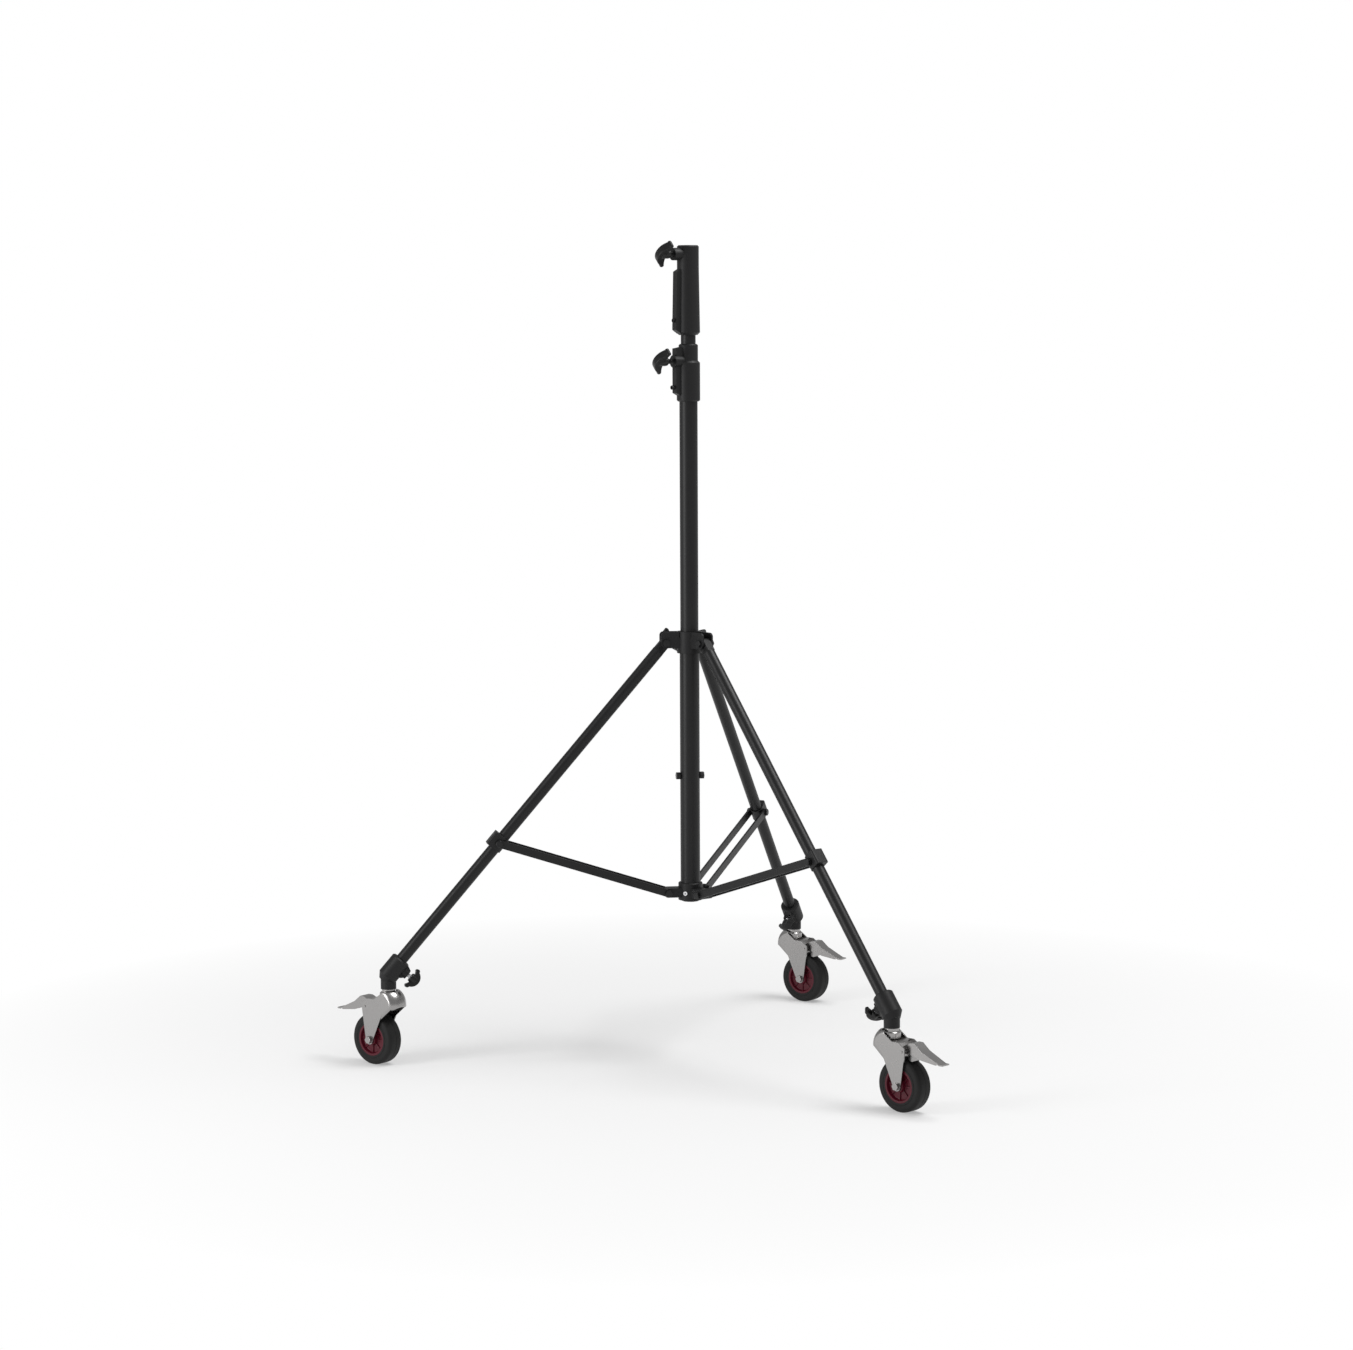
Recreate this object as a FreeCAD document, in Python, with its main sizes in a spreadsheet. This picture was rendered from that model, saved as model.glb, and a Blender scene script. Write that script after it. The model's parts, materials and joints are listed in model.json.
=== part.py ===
import FreeCAD, Part

import math
import os
import re

import Sketcher

from FreeCAD import Placement, Rotation, Vector

# Rolling light stand: a steel column on three folding legs with braked casters, and a
# telescoping riser that carries a receiver for a 28.6 mm spigot. Millimetres, +Z up. The origin
# is on the floor under the column's axis, and the rear leg points along +Y.

document = FreeCAD.newDocument("roller_stand")
sheet = document.addObject("Spreadsheet::Sheet", "sizes")

LEG_AZIMUTHS = {"left": 210.0, "right": 330.0, "rear": 90.0}
CASTER_HEADINGS = {"left": 164.0, "right": 338.0, "rear": 345.0}
FOOT_ROLLS = {"left": -10.0, "right": -60.0, "rear": -50.0}

# Driving dimensions, in millimetres and degrees.
DRIVING = (
    ("wheel_diameter", 100, "tyre across the tread"),
    ("tyre_width", 36, "tyre, side to side"),
    ("tyre_shoulder", 9, "rounding of the tread's shoulders"),
    ("rim_diameter", 64, "seat of the tyre on its hub"),
    ("hub_width", 40, "hub along the axle"),
    ("hub_boss_diameter", 22, "boss round the axle"),
    ("hub_dish", 7, "depth of the dish in each side of the hub"),
    ("hub_wall", 4, "rim of the hub outside its dish"),
    ("axle_diameter", 8, "axle bolt"),
    ("axle_nut_width", 13, "across the flats of the axle's head and nut"),
    ("axle_nut_height", 5.5, "axle bolt's head and nut"),
    ("running_fit", 0.06, "radial clearance of a turning fit"),
    ("sliding_fit", 0.1, "radial clearance of a sliding fit"),
    ("seat_fit", 0.05, "radial clearance of a piece seated in its own body"),
    ("side_gap", 0.4, "gap beside a turning piece"),
    ("caster_trail", 31, "axle behind the swivel axis"),
    ("fork_plate", 2.5, "thickness of the fork's sheet"),
    ("fork_side_gap", 0.8, "fork to hub, each side"),
    ("fork_foot_radius", 9, "rounding of the fork round the axle"),
    ("crown_gap", 7, "tyre to the underside of the fork's crown"),
    ("crown_radius", 34, "fork's hood about the swivel axis"),
    ("crown_height", 24, "crown plate above the cheeks' ears"),
    ("hood_shoulder", 10, "hood's round begins below the crown's top"),
    ("hood_rise", 26, "hood's rim above the start of its round"),
    ("hood_round", 9, "rounding between the hood and the cheeks"),
    ("hood_back", 18, "end of the hood's slope behind the swivel axis"),
    ("crown_sheet", 2.5, "thickness of the crown's sheet"),
    ("cheek_front", 23, "front of the fork's cheeks ahead of the swivel axis"),
    ("cheek_waist", 5, "corner of the cheeks' front edge behind the swivel axis"),
    ("cheek_waist_height", 87, "that corner above the floor"),
    ("cheek_slope", 0.84, "rise of the cheeks' front edge for each millimetre forwards"),
    ("cheek_rear", 49, "rear of the fork's cheeks behind the swivel axis"),
    ("race_radius", 17, "race cup above the crown"),
    ("race_height", 20, "race cup and its neck"),
    ("race_round", 2, "chamfers of the race cup"),
    ("race_neck_radius", 13, "neck above the race cup"),
    ("race_neck_height", 6, "neck above the race cup"),
    ("cheek_ear", 6, "ears of the cheeks round the brake pin"),
    ("kingpin_diameter", 10, "pin the fork turns on"),
    ("kingpin_nut_height", 6, "nut under the crown"),
    ("kingpin_nut_width", 17, "across the flats"),
    ("stem_diameter", 16, "caster's stem"),
    ("stem_length", 40, "stem above the race cup"),
    ("socket_drop", 26, "foot socket's lower end below the leg's axis"),
    ("brake_pivot_back", 42, "brake pin behind the swivel axis"),
    ("brake_pivot_rise", 8, "brake pin above the crown's rim"),
    ("brake_pin_diameter", 5, "brake pin"),
    ("brake_reach", 85, "pedal from its pin to its tip"),
    ("brake_width", 26, "pedal at its pin"),
    ("brake_tip_width", 20, "pedal at its tip"),
    ("brake_sheet", 2.5, "pedal's sheet"),
    ("brake_flange", 16, "height of the pedal's side flanges"),
    ("brake_hump", 16, "pedal's hump above its pin"),
    ("hump_start", 12, "hump's flat begins behind the pin"),
    ("hump_length", 10, "hump's flat"),
    ("brake_waist", 38, "end of the hump's slope behind the pin"),
    ("brake_waist_rise", 3.5, "end of the hump's slope above the pin"),
    ("brake_fall", 14, "pedal's tip below its pin"),
    ("brake_toe", 8, "flat toe of the pedal"),
    ("brake_nose", 8, "pedal ahead of its pin"),
    ("brake_ear", 5, "pedal's flanges below its pin"),
    ("brake_nose_rise", 6, "pedal's nose above its pin"),
    ("shoe_back", 8, "brake shoe behind its pin"),
    ("shoe_length", 8, "brake shoe along the tyre"),
    ("shoe_drop", 15.8, "brake shoe's front edge below its pin"),
    ("shoe_slope", 1.5, "brake shoe's rear edge below its front edge"),
    ("leg_length", 837, "pivot to the caster's axis, along the leg"),
    ("leg_angle", 40.5, "leg from the vertical"),
    ("leg_pivot_radius", 47, "leg pivot from the column's axis"),
    ("leg_diameter", 23, "leg tube"),
    ("leg_wall", 2, "wall of the leg tube"),
    ("leg_tongue", 16, "tongue of the leg's head"),
    ("leg_eye_radius", 10, "rounding of the leg's head about its pivot"),
    ("leg_neck", 24, "pivot to the end of the tube"),
    ("leg_plug_length", 28, "plug inside the tube"),
    ("pivot_bolt_diameter", 8, "leg and brace pivots"),
    ("pivot_head_width", 13, "across the flats of the pivot bolts"),
    ("pivot_head_height", 5, "head and nut of the pivot bolts"),
    ("cheek_wall", 5, "cheeks of the leg collar's clevises"),
    ("clevis_round", 10.5, "rounding of the clevises"),
    ("collar_height", 42, "leg collar"),
    ("collar_wall", 6.5, "ring of the leg collar"),
    ("brace_joint_distance", 504, "leg pivot to brace joint, along the leg"),
    ("brace_rise", 106.1, "brace joint above the brace pivot"),
    ("brace_pivot_radius", 45, "brace pivot from the column's axis"),
    ("brace_height", 15, "brace bar, deep way"),
    ("brace_thickness", 4, "brace bar, thin way"),
    ("bracket_wall", 2.2, "sheet of the brace bracket on the leg"),
    ("bracket_length", 30, "brace bracket along the leg"),
    ("bracket_outreach", 8, "brace bracket beyond the outer side of the leg"),
    ("bracket_round", 4, "rounding of the brace bracket"),
    ("bracket_gap", 0.3, "brace bracket to brace bar"),
    ("rivet_diameter", 8, "rivets of the brace joint"),
    ("rivet_head_diameter", 14, "rivets of the brace joint"),
    ("rivet_head_height", 4, "rivets of the brace joint"),
    ("brace_collar_height", 34, "brace collar"),
    ("brace_collar_wall", 6, "ring of the brace collar"),
    ("brace_lug_round", 9, "rounding of the brace collar's lugs"),
    ("brace_pivot_rise", 15, "brace pivot above the column's lower end"),
    ("column_diameter", 35, "column tube"),
    ("column_wall", 2, "wall of the column tube"),
    ("column_length", 1027, "column tube"),
    ("sleeve_wall", 1.5, "lower sleeve over the column"),
    ("stop_bolt_azimuth", 20, "direction of the stop bolt"),
    ("stop_bolt_share", 0.467, "stop bolt's place up the lower sleeve, as a share"),
    ("stop_bolt_diameter", 8, "stop bolt"),
    ("stop_nut_width", 13, "across the flats of the stop bolt's head and nut"),
    ("stop_nut_height", 8.5, "head and nut of the stop bolt"),
    ("end_plug_flange", 3, "flange of the column's end plug"),
    ("end_plug_depth", 20, "end plug inside the tube"),
    ("riser_diameter", 28.6, "riser tube"),
    ("riser_wall", 2, "wall of the riser tube"),
    ("riser_clearance", 24, "riser's lower end above the stop bolt"),
    ("riser_neck", 17, "riser seen between clamp and receiver"),
    ("riser_bush_length", 40, "guide bush at the riser's lower end"),
    ("riser_bush_lip", 3, "lip of the bush under the tube"),
    ("clamp_length", 110, "column clamp casting"),
    ("clamp_seat", 58, "column inside the clamp casting"),
    ("clamp_radius", 22.5, "clamp casting round the column"),
    ("clamp_throat_radius", 18.6, "clamp casting round the riser"),
    ("clamp_step_height", 78, "lower, thicker part of the clamp casting"),
    ("clamp_rib_top", 6, "top of the clamp's rib below its rim"),
    ("clamp_rib_foot", 14, "foot of the clamp's rib above its lower end"),
    ("clamp_screw_height", 77, "clamp screw above the casting's lower end"),
    ("clamp_set_screw_height", 27, "set screw above the casting's lower end"),
    ("rib_reach", 32, "ribs of the castings from the column's axis"),
    ("rib_width", 14, "ribs of the castings"),
    ("boss_diameter", 24, "bosses round the clamp screws"),
    ("collar_boss_reach", 38, "leg collar's boss from the column's axis"),
    ("boss_reach", 35, "bosses from the column's axis"),
    ("receiver_length", 171, "receiver casting"),
    ("receiver_radius", 21, "receiver at its mouth"),
    ("receiver_foot_radius", 22.8, "receiver at its lower end"),
    ("spigot_diameter", 28.6, "socket for the lamp's spigot"),
    ("spigot_depth", 96, "depth of that socket"),
    ("receiver_seat", 60, "riser inside the receiver"),
    ("receiver_rib_drop", 48, "top of the receiver's rib below its mouth"),
    ("receiver_screw_drop", 17, "clamp screw below the receiver's mouth"),
    ("receiver_set_screw_height", 28, "set screw above the receiver's lower end"),
    ("casting_round", 2.5, "rounding of the castings' edges"),
    ("clamp_screw_diameter", 10, "screws of the T-knobs"),
    ("set_screw_diameter", 8, "set screws"),
    ("set_screw_stand", 7, "set screw's head above its seat"),
    ("pad_length", 8, "pressure pads"),
    ("pad_gap", 0.3, "pressure pad to the tube it presses"),
    ("screw_gap", 0.2, "pressure pad to its screw"),
    ("knob_span", 58, "T-knobs of the column, tip to tip"),
    ("foot_knob_span", 42, "T-knobs of the feet, tip to tip"),
    ("foot_knob_thickness", 13, "wings of the feet's T-knobs"),
    ("foot_knob_depth", 14, "wings of the feet's T-knobs, along the screw"),
    ("foot_knob_hub_length", 6, "hub behind the wings of the feet's T-knobs"),
    ("knob_thickness", 15, "wings of the T-knobs"),
    ("knob_depth", 18, "wings of the T-knobs, along the screw"),
    ("knob_tip", 4.5, "rounding of the wing tips"),
    ("knob_roll", 45, "upper T-knobs turned on their screws"),
    ("knob_droop", 8, "wing tips behind the middle of the knob"),
    ("knob_hub_diameter", 18, "hub of a T-knob"),
    ("knob_hub_length", 10, "hub behind the wings"),
    ("knob_stand", 7, "screw seen between the hub and the boss"),
    ("clamp_knob_stand", 14, "the same at the column clamp"),
    ("knob_azimuth", 235, "direction of the two upper T-knobs"),
    ("collar_knob_azimuth", 150, "direction of the leg collar's T-knob"),
    ("foot_sleeve_radius", 19.5, "foot socket round the leg"),
    ("foot_sleeve_length", 40, "foot socket up the leg"),
    ("foot_stem_radius", 15, "foot socket round the stem"),
    ("foot_dome", 14, "foot socket past the caster's axis"),
    ("leg_insertion", 22, "leg inside the foot socket"),
    ("foot_screw_rise", 24, "foot screw above the caster's axis, along the leg"),
    ("foot_boss_reach", 28, "foot screw's boss from the leg's axis"),
    ("foot_boss_diameter", 20, "foot screw's boss"),
    ("foot_rib_reach", 25, "foot socket's rib from the leg's axis"),
    ("foot_rib_width", 14, "foot socket's rib"),
    ("foot_rib_foot", 10, "rib's lower end above the caster's axis, along the leg"),
    ("foot_screw_diameter", 8, "screws of the foot T-knobs"),
)

# Values worked out from the driving ones.
DERIVED = (
    ("wheel_radius", "=wheel_diameter / 2"),
    ("crown_rim", "=wheel_diameter + crown_gap"),
    ("crown_top", "=crown_rim + crown_height"),
    ("socket_foot", "=crown_top + race_height"),
    ("foot_height", "=socket_foot + socket_drop"),
    ("leg_pivot_height", "=foot_height + leg_length * cos(leg_angle)"),
    ("foot_radius", "=leg_pivot_radius + leg_length * sin(leg_angle)"),
    ("brace_joint_radius", "=leg_pivot_radius + brace_joint_distance * sin(leg_angle)"),
    ("brace_joint_height", "=leg_pivot_height - brace_joint_distance * cos(leg_angle)"),
    ("brace_run", "=brace_joint_radius - brace_pivot_radius"),
    ("brace_length", "=sqrt(brace_run * brace_run + brace_rise * brace_rise)"),
    ("brace_angle", "=atan2(brace_rise; brace_run) / 1 deg"),
    ("brace_pivot_height", "=brace_joint_height - brace_rise"),
    ("column_bottom", "=brace_pivot_height - brace_pivot_rise"),
    ("column_top", "=column_bottom + column_length"),
    ("column_radius", "=column_diameter / 2"),
    ("column_bore_radius", "=column_radius - column_wall"),
    ("sleeve_bore_radius", "=column_radius + seat_fit"),
    ("sleeve_radius", "=sleeve_bore_radius + sleeve_wall"),
    ("collar_bottom", "=leg_pivot_height - collar_height / 2"),
    ("collar_bore_radius", "=column_radius + sliding_fit"),
    ("collar_ring_radius", "=collar_bore_radius + collar_wall"),
    ("brace_collar_top", "=column_bottom + brace_collar_height"),
    ("sleeve_length", "=collar_bottom - side_gap - brace_collar_top"),
    ("brace_ring_radius", "=column_radius + seat_fit + brace_collar_wall"),
    ("bracket_half_width", "=leg_diameter / 2 + seat_fit + bracket_wall"),
    ("brace_inner_face", "=bracket_half_width + bracket_gap"),
    ("clevis_half_gap", "=leg_tongue / 2 + side_gap"),
    ("clevis_half_width", "=clevis_half_gap + cheek_wall"),
    ("stop_bolt_height", "=brace_collar_height + stop_bolt_share * sleeve_length"),
    ("stop_height", "=column_bottom + stop_bolt_height"),
    ("clamp_bottom", "=column_top - clamp_seat"),
    ("clamp_top", "=clamp_bottom + clamp_length"),
    ("clamp_screw_z", "=clamp_bottom + clamp_screw_height"),
    ("receiver_bottom", "=clamp_top + riser_neck"),
    ("receiver_top", "=receiver_bottom + receiver_length"),
    ("receiver_screw_z", "=receiver_top - receiver_screw_drop"),
    ("riser_radius", "=riser_diameter / 2"),
    ("riser_top", "=receiver_bottom + receiver_seat"),
    ("riser_bottom", "=stop_height + riser_clearance"),
    ("riser_length", "=riser_top - riser_bottom"),
    ("spigot_radius", "=spigot_diameter / 2"),
    ("hub_half_width", "=hub_width / 2"),
    ("cheek_inner", "=hub_half_width + fork_side_gap"),
    ("cheek_outer", "=cheek_inner + fork_plate"),
    ("brake_pivot_z", "=crown_rim + brake_pivot_rise"),
    ("hood_start", "=crown_top - hood_shoulder"),
    ("hood_top", "=hood_start + hood_rise"),
    ("hood_inner", "=crown_radius - crown_sheet"),
    ("cheek_front_height", "=cheek_waist_height + cheek_slope * (cheek_waist + cheek_front)"),
    ("hood_foot", "=cheek_front_height"),
    ("leg_tube_end", "=leg_length - foot_sleeve_length + leg_insertion"),
)


def fill_sheet():
    """Write the driving and derived sizes into the spreadsheet and name each cell."""
    row = 1
    for alias, value, meaning in DRIVING:
        sheet.set(f"A{row}", meaning)
        sheet.set(f"B{row}", str(value))
        sheet.setAlias(f"B{row}", alias)
        row += 1
    for alias, formula in DERIVED:
        sheet.set(f"A{row}", alias.replace("_", " "))
        sheet.set(f"B{row}", formula)
        sheet.setAlias(f"B{row}", alias)
        row += 1
    document.recompute()


def size(alias):
    """The value of one named cell."""
    return float(getattr(sheet, alias))


def value(expression):
    """What an expression on cell names comes to."""
    return float(sheet.evalExpression(expression))


def bound(expression):
    """The same expression, written the way another object reads the sheet."""
    return re.sub(r"[a-z]+(?:_[a-z]+)+", lambda name: "sizes." + name.group(0), expression)


def spoke(azimuth, radius=0.0, height=0.0, tilt=0.0, roll=0.0):
    """Placement with X radial at this azimuth and Z up, tilted about its Y and rolled about X."""
    heading = Rotation(Vector(0, 0, 1), azimuth)
    place = heading.multVec(Vector(radius, 0, 0)) + Vector(0, 0, height)
    turned = heading.multiply(Rotation(Vector(0, 1, 0), tilt))
    return Placement(place, turned.multiply(Rotation(Vector(1, 0, 0), roll)))


class Piece:
    """One sub-part: a body whose sketches and features are bound to the sheet."""

    def __init__(self, label, placement=None):
        self.body = document.addObject("PartDesign::Body", label)
        self.body.Label = label
        self.body.AllowCompound = True
        if placement is not None:
            self.body.Placement = placement
        self.steps = 0

    def name(self, kind):
        """A name of its own for each sketch and feature."""
        self.steps += 1
        return f"{self.body.Label}_{kind}_{self.steps}"

    def origin(self, role):
        """One of the body's own planes or axes."""
        return next(item for item in self.body.Origin.OriginFeatures if item.Role == role)

    def sketch(self, plane, lift="0", turn=None):
        """An empty sketch on one of the body's planes, lifted and turned from it."""
        sketch = self.body.newObject("Sketcher::SketchObject", self.name("sketch"))
        sketch.AttachmentSupport = (self.origin(plane), [""])
        sketch.MapMode = "FlatFace"
        offset = Placement(Vector(0, 0, value(lift)), turn or Rotation())
        sketch.AttachmentOffset = offset
        if lift != "0":
            sketch.setExpression("AttachmentOffset.Base.z", bound(lift))
        return sketch

    def pin(self, sketch, geometry, point, across, up):
        """Hold one point of a sketch at two distances from its origin."""
        for kind, expression in (("DistanceX", across), ("DistanceY", up)):
            rule = Sketcher.Constraint(kind, -1, 1, geometry, point, value(expression))
            index = sketch.addConstraint(rule)
            if "_" in expression:
                sketch.setExpression(f"Constraints[{index}]", bound(expression))

    def circle(self, sketch, radius, across="0", up="0"):
        """A circle of this radius about a point of the sketch."""
        centre = Vector(value(across), value(up), 0)
        ring = Part.Circle(centre, Vector(0, 0, 1), value(radius))
        geometry = sketch.addGeometry(ring, False)
        self.pin(sketch, geometry, 3, across, up)
        index = sketch.addConstraint(Sketcher.Constraint("Radius", geometry, value(radius)))
        sketch.setExpression(f"Constraints[{index}]", bound(radius))
        return sketch

    def outline(self, sketch, corners):
        """A closed outline. A corner (x, y) starts a straight edge; (x, y, centre x, centre y,
        turn) starts an arc, anticlockwise where turn is 1 and clockwise where it is -1."""
        points = [Vector(value(corner[0]), value(corner[1]), 0) for corner in corners]
        first = sketch.GeometryCount
        ends = []
        for index, corner in enumerate(corners):
            start = points[index]
            end = points[(index + 1) % len(corners)]
            if len(corner) == 2:
                sketch.addGeometry(Part.LineSegment(start, end), False)
                ends.append((1, 2))
                continue
            centre = Vector(value(corner[2]), value(corner[3]), 0)
            if corner[4] < 0:
                start, end = end, start
            ends.append((1, 2) if corner[4] > 0 else (2, 1))
            ring = Part.Circle(centre, Vector(0, 0, 1), (start - centre).Length)
            low = math.atan2(start.y - centre.y, start.x - centre.x)
            high = math.atan2(end.y - centre.y, end.x - centre.x)
            if high < low:
                high += 2 * math.pi
            sketch.addGeometry(Part.ArcOfCircle(ring, low, high), False)
        for index, corner in enumerate(corners):
            after = (index + 1) % len(corners)
            joined = (first + index, ends[index][1], first + after, ends[after][0])
            sketch.addConstraint(Sketcher.Constraint("Coincident", *joined))
        for index, corner in enumerate(corners):
            self.pin(sketch, first + index, ends[index][0], corner[0], corner[1])
            if len(corner) == 5:
                chord = points[(index + 1) % len(corners)] - points[index]
                upright = abs(chord.y) >= abs(chord.x)
                kind = "DistanceX" if upright else "DistanceY"
                place = corner[2] if upright else corner[3]
                rule = Sketcher.Constraint(kind, -1, 1, first + index, 3, value(place))
                held = sketch.addConstraint(rule)
                if "_" in place:
                    sketch.setExpression(f"Constraints[{held}]", bound(place))
        return sketch

    def rounded_bar(self, sketch, start, end, radius, up="0"):
        """A bar with round ends along the sketch's first axis, between two centres."""
        low = f"{up} - ({radius})"
        high = f"{up} + ({radius})"
        return self.outline(sketch, (
            (start, low),
            (end, low, end, up, 1),
            (end, high),
            (start, high, start, up, 1),
        ))

    def feature(self, kind, sketch, length, middle, back):
        """A pad or pocket of a sketch; without a length it goes through everything."""
        made = self.body.newObject(f"PartDesign::{kind}", self.name(kind.lower()))
        made.Profile = sketch
        if length is None:
            made.Type = "ThroughAll"
        else:
            made.Length = value(length)
            made.setExpression("Length", bound(length))
        made.Midplane = middle
        made.Reversed = back
        sketch.Visibility = False
        return made

    def pad(self, sketch, length, middle=False, back=False):
        """Grow a sketch into the solid."""
        return self.feature("Pad", sketch, length, middle, back)

    def cut(self, sketch, length=None, middle=True, back=False):
        """Cut a sketch out of the solid; the cut has to take something away."""
        document.recompute()
        before = self.body.Shape.Volume
        made = self.feature("Pocket", sketch, length, middle, back)
        document.recompute()
        if self.body.Shape.Volume >= before - 1e-6:
            raise ValueError(f"{made.Label} cuts nothing")
        return made

    def spin(self, sketch, kind="Revolution"):
        """Turn a sketch once round its upright axis."""
        made = self.body.newObject(f"PartDesign::{kind}", self.name(kind.lower()))
        made.Profile = sketch
        made.ReferenceAxis = (sketch, ["V_Axis"])
        made.Angle = 360
        return made

    def around(self, features, count):
        """Repeat features round the body's Z axis."""
        made = self.body.newObject("PartDesign::PolarPattern", self.name("pattern"))
        made.Originals = features
        made.Axis = (self.origin("Z_Axis"), [""])
        made.Angle = 360
        made.Occurrences = count
        self.body.Tip = made
        document.recompute()
        return made

    def dress(self, kind, amount, wanted):
        """Fillet or chamfer every edge that the test picks."""
        document.recompute()
        base = self.body.Tip
        picked = [f"Edge{place}" for place, edge in enumerate(base.Shape.Edges, 1) if wanted(edge)]
        if not picked:
            raise ValueError(f"{self.body.Label} has no edge to {kind.lower()}")
        made = self.body.newObject(f"PartDesign::{kind}", self.name(kind.lower()))
        made.Base = (base, picked)
        setting = "Radius" if kind == "Fillet" else "Size"
        made.setExpression(setting, bound(amount))
        self.body.Tip = made
        document.recompute()
        return made


def level(edge, height):
    """Whether an edge lies flat at this height in its body's own frame."""
    box = edge.BoundBox
    return abs(box.ZMin - height) < 1e-4 and abs(box.ZMax - height) < 1e-4


def tube(label, outer, inner, length, placement):
    """A plain round tube that stands on its own XY plane."""
    piece = Piece(label, placement)
    ring = piece.sketch("XY_Plane")
    piece.circle(ring, outer)
    piece.circle(ring, inner)
    piece.pad(ring, length)
    return piece


def hexagon(piece, sketch, width):
    """A hexagon of this width across its flats."""
    corner = f"{width} / sqrt(3)"
    half = f"{width} / sqrt(3) / 2"
    side = f"{width} / 2"
    piece.outline(sketch, (
        (corner, "0"),
        (half, side),
        (f"-{half}", side),
        (f"-{corner}", "0"),
        (f"-{half}", f"-{side}"),
        (half, f"-{side}"),
    ))
    return sketch


def bolt(piece, grip, diameter, width, height, at="0"):
    """A hexagon bolt with its nut, centred on a plane through the body's Y axis."""
    shank = piece.sketch("XZ_Plane")
    piece.circle(shank, f"{diameter} / 2", at)
    made = [piece.pad(shank, f"{grip} + {height}", middle=True)]
    for back in (False, True):
        lift = f"{grip} / 2" if not back else f"-({grip} / 2 + {height})"
        end = piece.sketch("XZ_Plane", lift)
        corner = f"{width} / sqrt(3)"
        half = f"{width} / sqrt(3) / 2"
        side = f"{width} / 2"
        piece.outline(end, (
            (f"{at} + {corner}", "0"),
            (f"{at} + {half}", side),
            (f"{at} - {half}", side),
            (f"{at} - {corner}", "0"),
            (f"{at} - {half}", f"-{side}"),
            (f"{at} + {half}", f"-{side}"),
        ))
        made.append(piece.pad(end, height))
    return made


def column():
    """The column, its lower sleeve, the stop bolt that crosses both and the end plug."""
    azimuth = size("stop_bolt_azimuth")
    stop = "stop_bolt_diameter / 2 + seat_fit"
    post = tube("column_tube", "column_radius", "column_bore_radius", "column_length",
                spoke(azimuth, 0, size("column_bottom")))
    cross = post.circle(post.sketch("XZ_Plane"), stop, "0", "stop_bolt_height")
    post.cut(cross)
    sleeve = tube("lower_sleeve", "sleeve_radius", "sleeve_bore_radius", "sleeve_length",
                  spoke(azimuth, 0, size("brace_collar_top")))
    height = "stop_bolt_height - brace_collar_height"
    sleeve.cut(sleeve.circle(sleeve.sketch("XZ_Plane"), stop, "0", height))
    crossing = Piece("stop_bolt", spoke(azimuth, 0, size("stop_height")))
    bolt(crossing, "2 * sleeve_radius", "stop_bolt_diameter", "stop_nut_width",
         "stop_nut_height")
    plug = Piece("column_end_plug", spoke(0, 0, size("column_bottom")))
    profile = plug.sketch("XZ_Plane")
    plug.outline(profile, (
        ("0", "-end_plug_flange"),
        ("column_radius - end_plug_flange / 2", "-end_plug_flange"),
        ("column_radius", "-end_plug_flange / 2"),
        ("column_radius", "0"),
        ("column_bore_radius - seat_fit", "0"),
        ("column_bore_radius - seat_fit", "end_plug_depth"),
        ("column_bore_radius - 2 * column_wall", "end_plug_depth"),
        ("column_bore_radius - 2 * column_wall", "end_plug_flange / 2"),
        ("0", "end_plug_flange / 2"),
    ))
    plug.spin(profile)
    return [post, sleeve, crossing, plug]


def brace_collar():
    """The ring clamped round the column's foot, with a lug for each brace."""
    collar = Piece("brace_collar", spoke(LEG_AZIMUTHS["rear"], 0, size("column_bottom")))
    ring = collar.circle(collar.sketch("XY_Plane"), "brace_ring_radius")
    collar.pad(ring, "brace_collar_height")
    lug = collar.rounded_bar(collar.sketch("XZ_Plane"), "0", "brace_pivot_radius",
                             "brace_lug_round", "brace_pivot_rise")
    grown = collar.pad(lug, "2 * bracket_half_width", middle=True)
    hole = collar.circle(collar.sketch("XZ_Plane"), "pivot_bolt_diameter / 2 + seat_fit",
                         "brace_pivot_radius", "brace_pivot_rise")
    drilled = collar.cut(hole)
    collar.around([grown, drilled], len(LEG_AZIMUTHS))
    screw = collar.circle(collar.sketch("YZ_Plane"), "set_screw_diameter / 2 + seat_fit",
                          "0", "brace_pivot_rise")
    collar.cut(screw, "brace_ring_radius + 1", middle=False)
    bore = collar.circle(collar.sketch("XY_Plane"), "column_radius + seat_fit")
    collar.cut(bore)
    rim = size("brace_collar_height")
    edge_radius = size("brace_ring_radius")
    collar.dress("Chamfer", "casting_round / 2", lambda edge: level(edge, rim)
                 and edge.BoundBox.DiagonalLength > edge_radius)
    return collar


def pivot_bolts(label, radius, height, grip):
    """Three bolts, one through each lug or clevis of a collar."""
    bolts = Piece(label, spoke(LEG_AZIMUTHS["rear"], 0, height))
    made = bolt(bolts, grip, "pivot_bolt_diameter", "pivot_head_width", "pivot_head_height",
                at=radius)
    bolts.around(made, len(LEG_AZIMUTHS))
    return bolts


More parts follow.
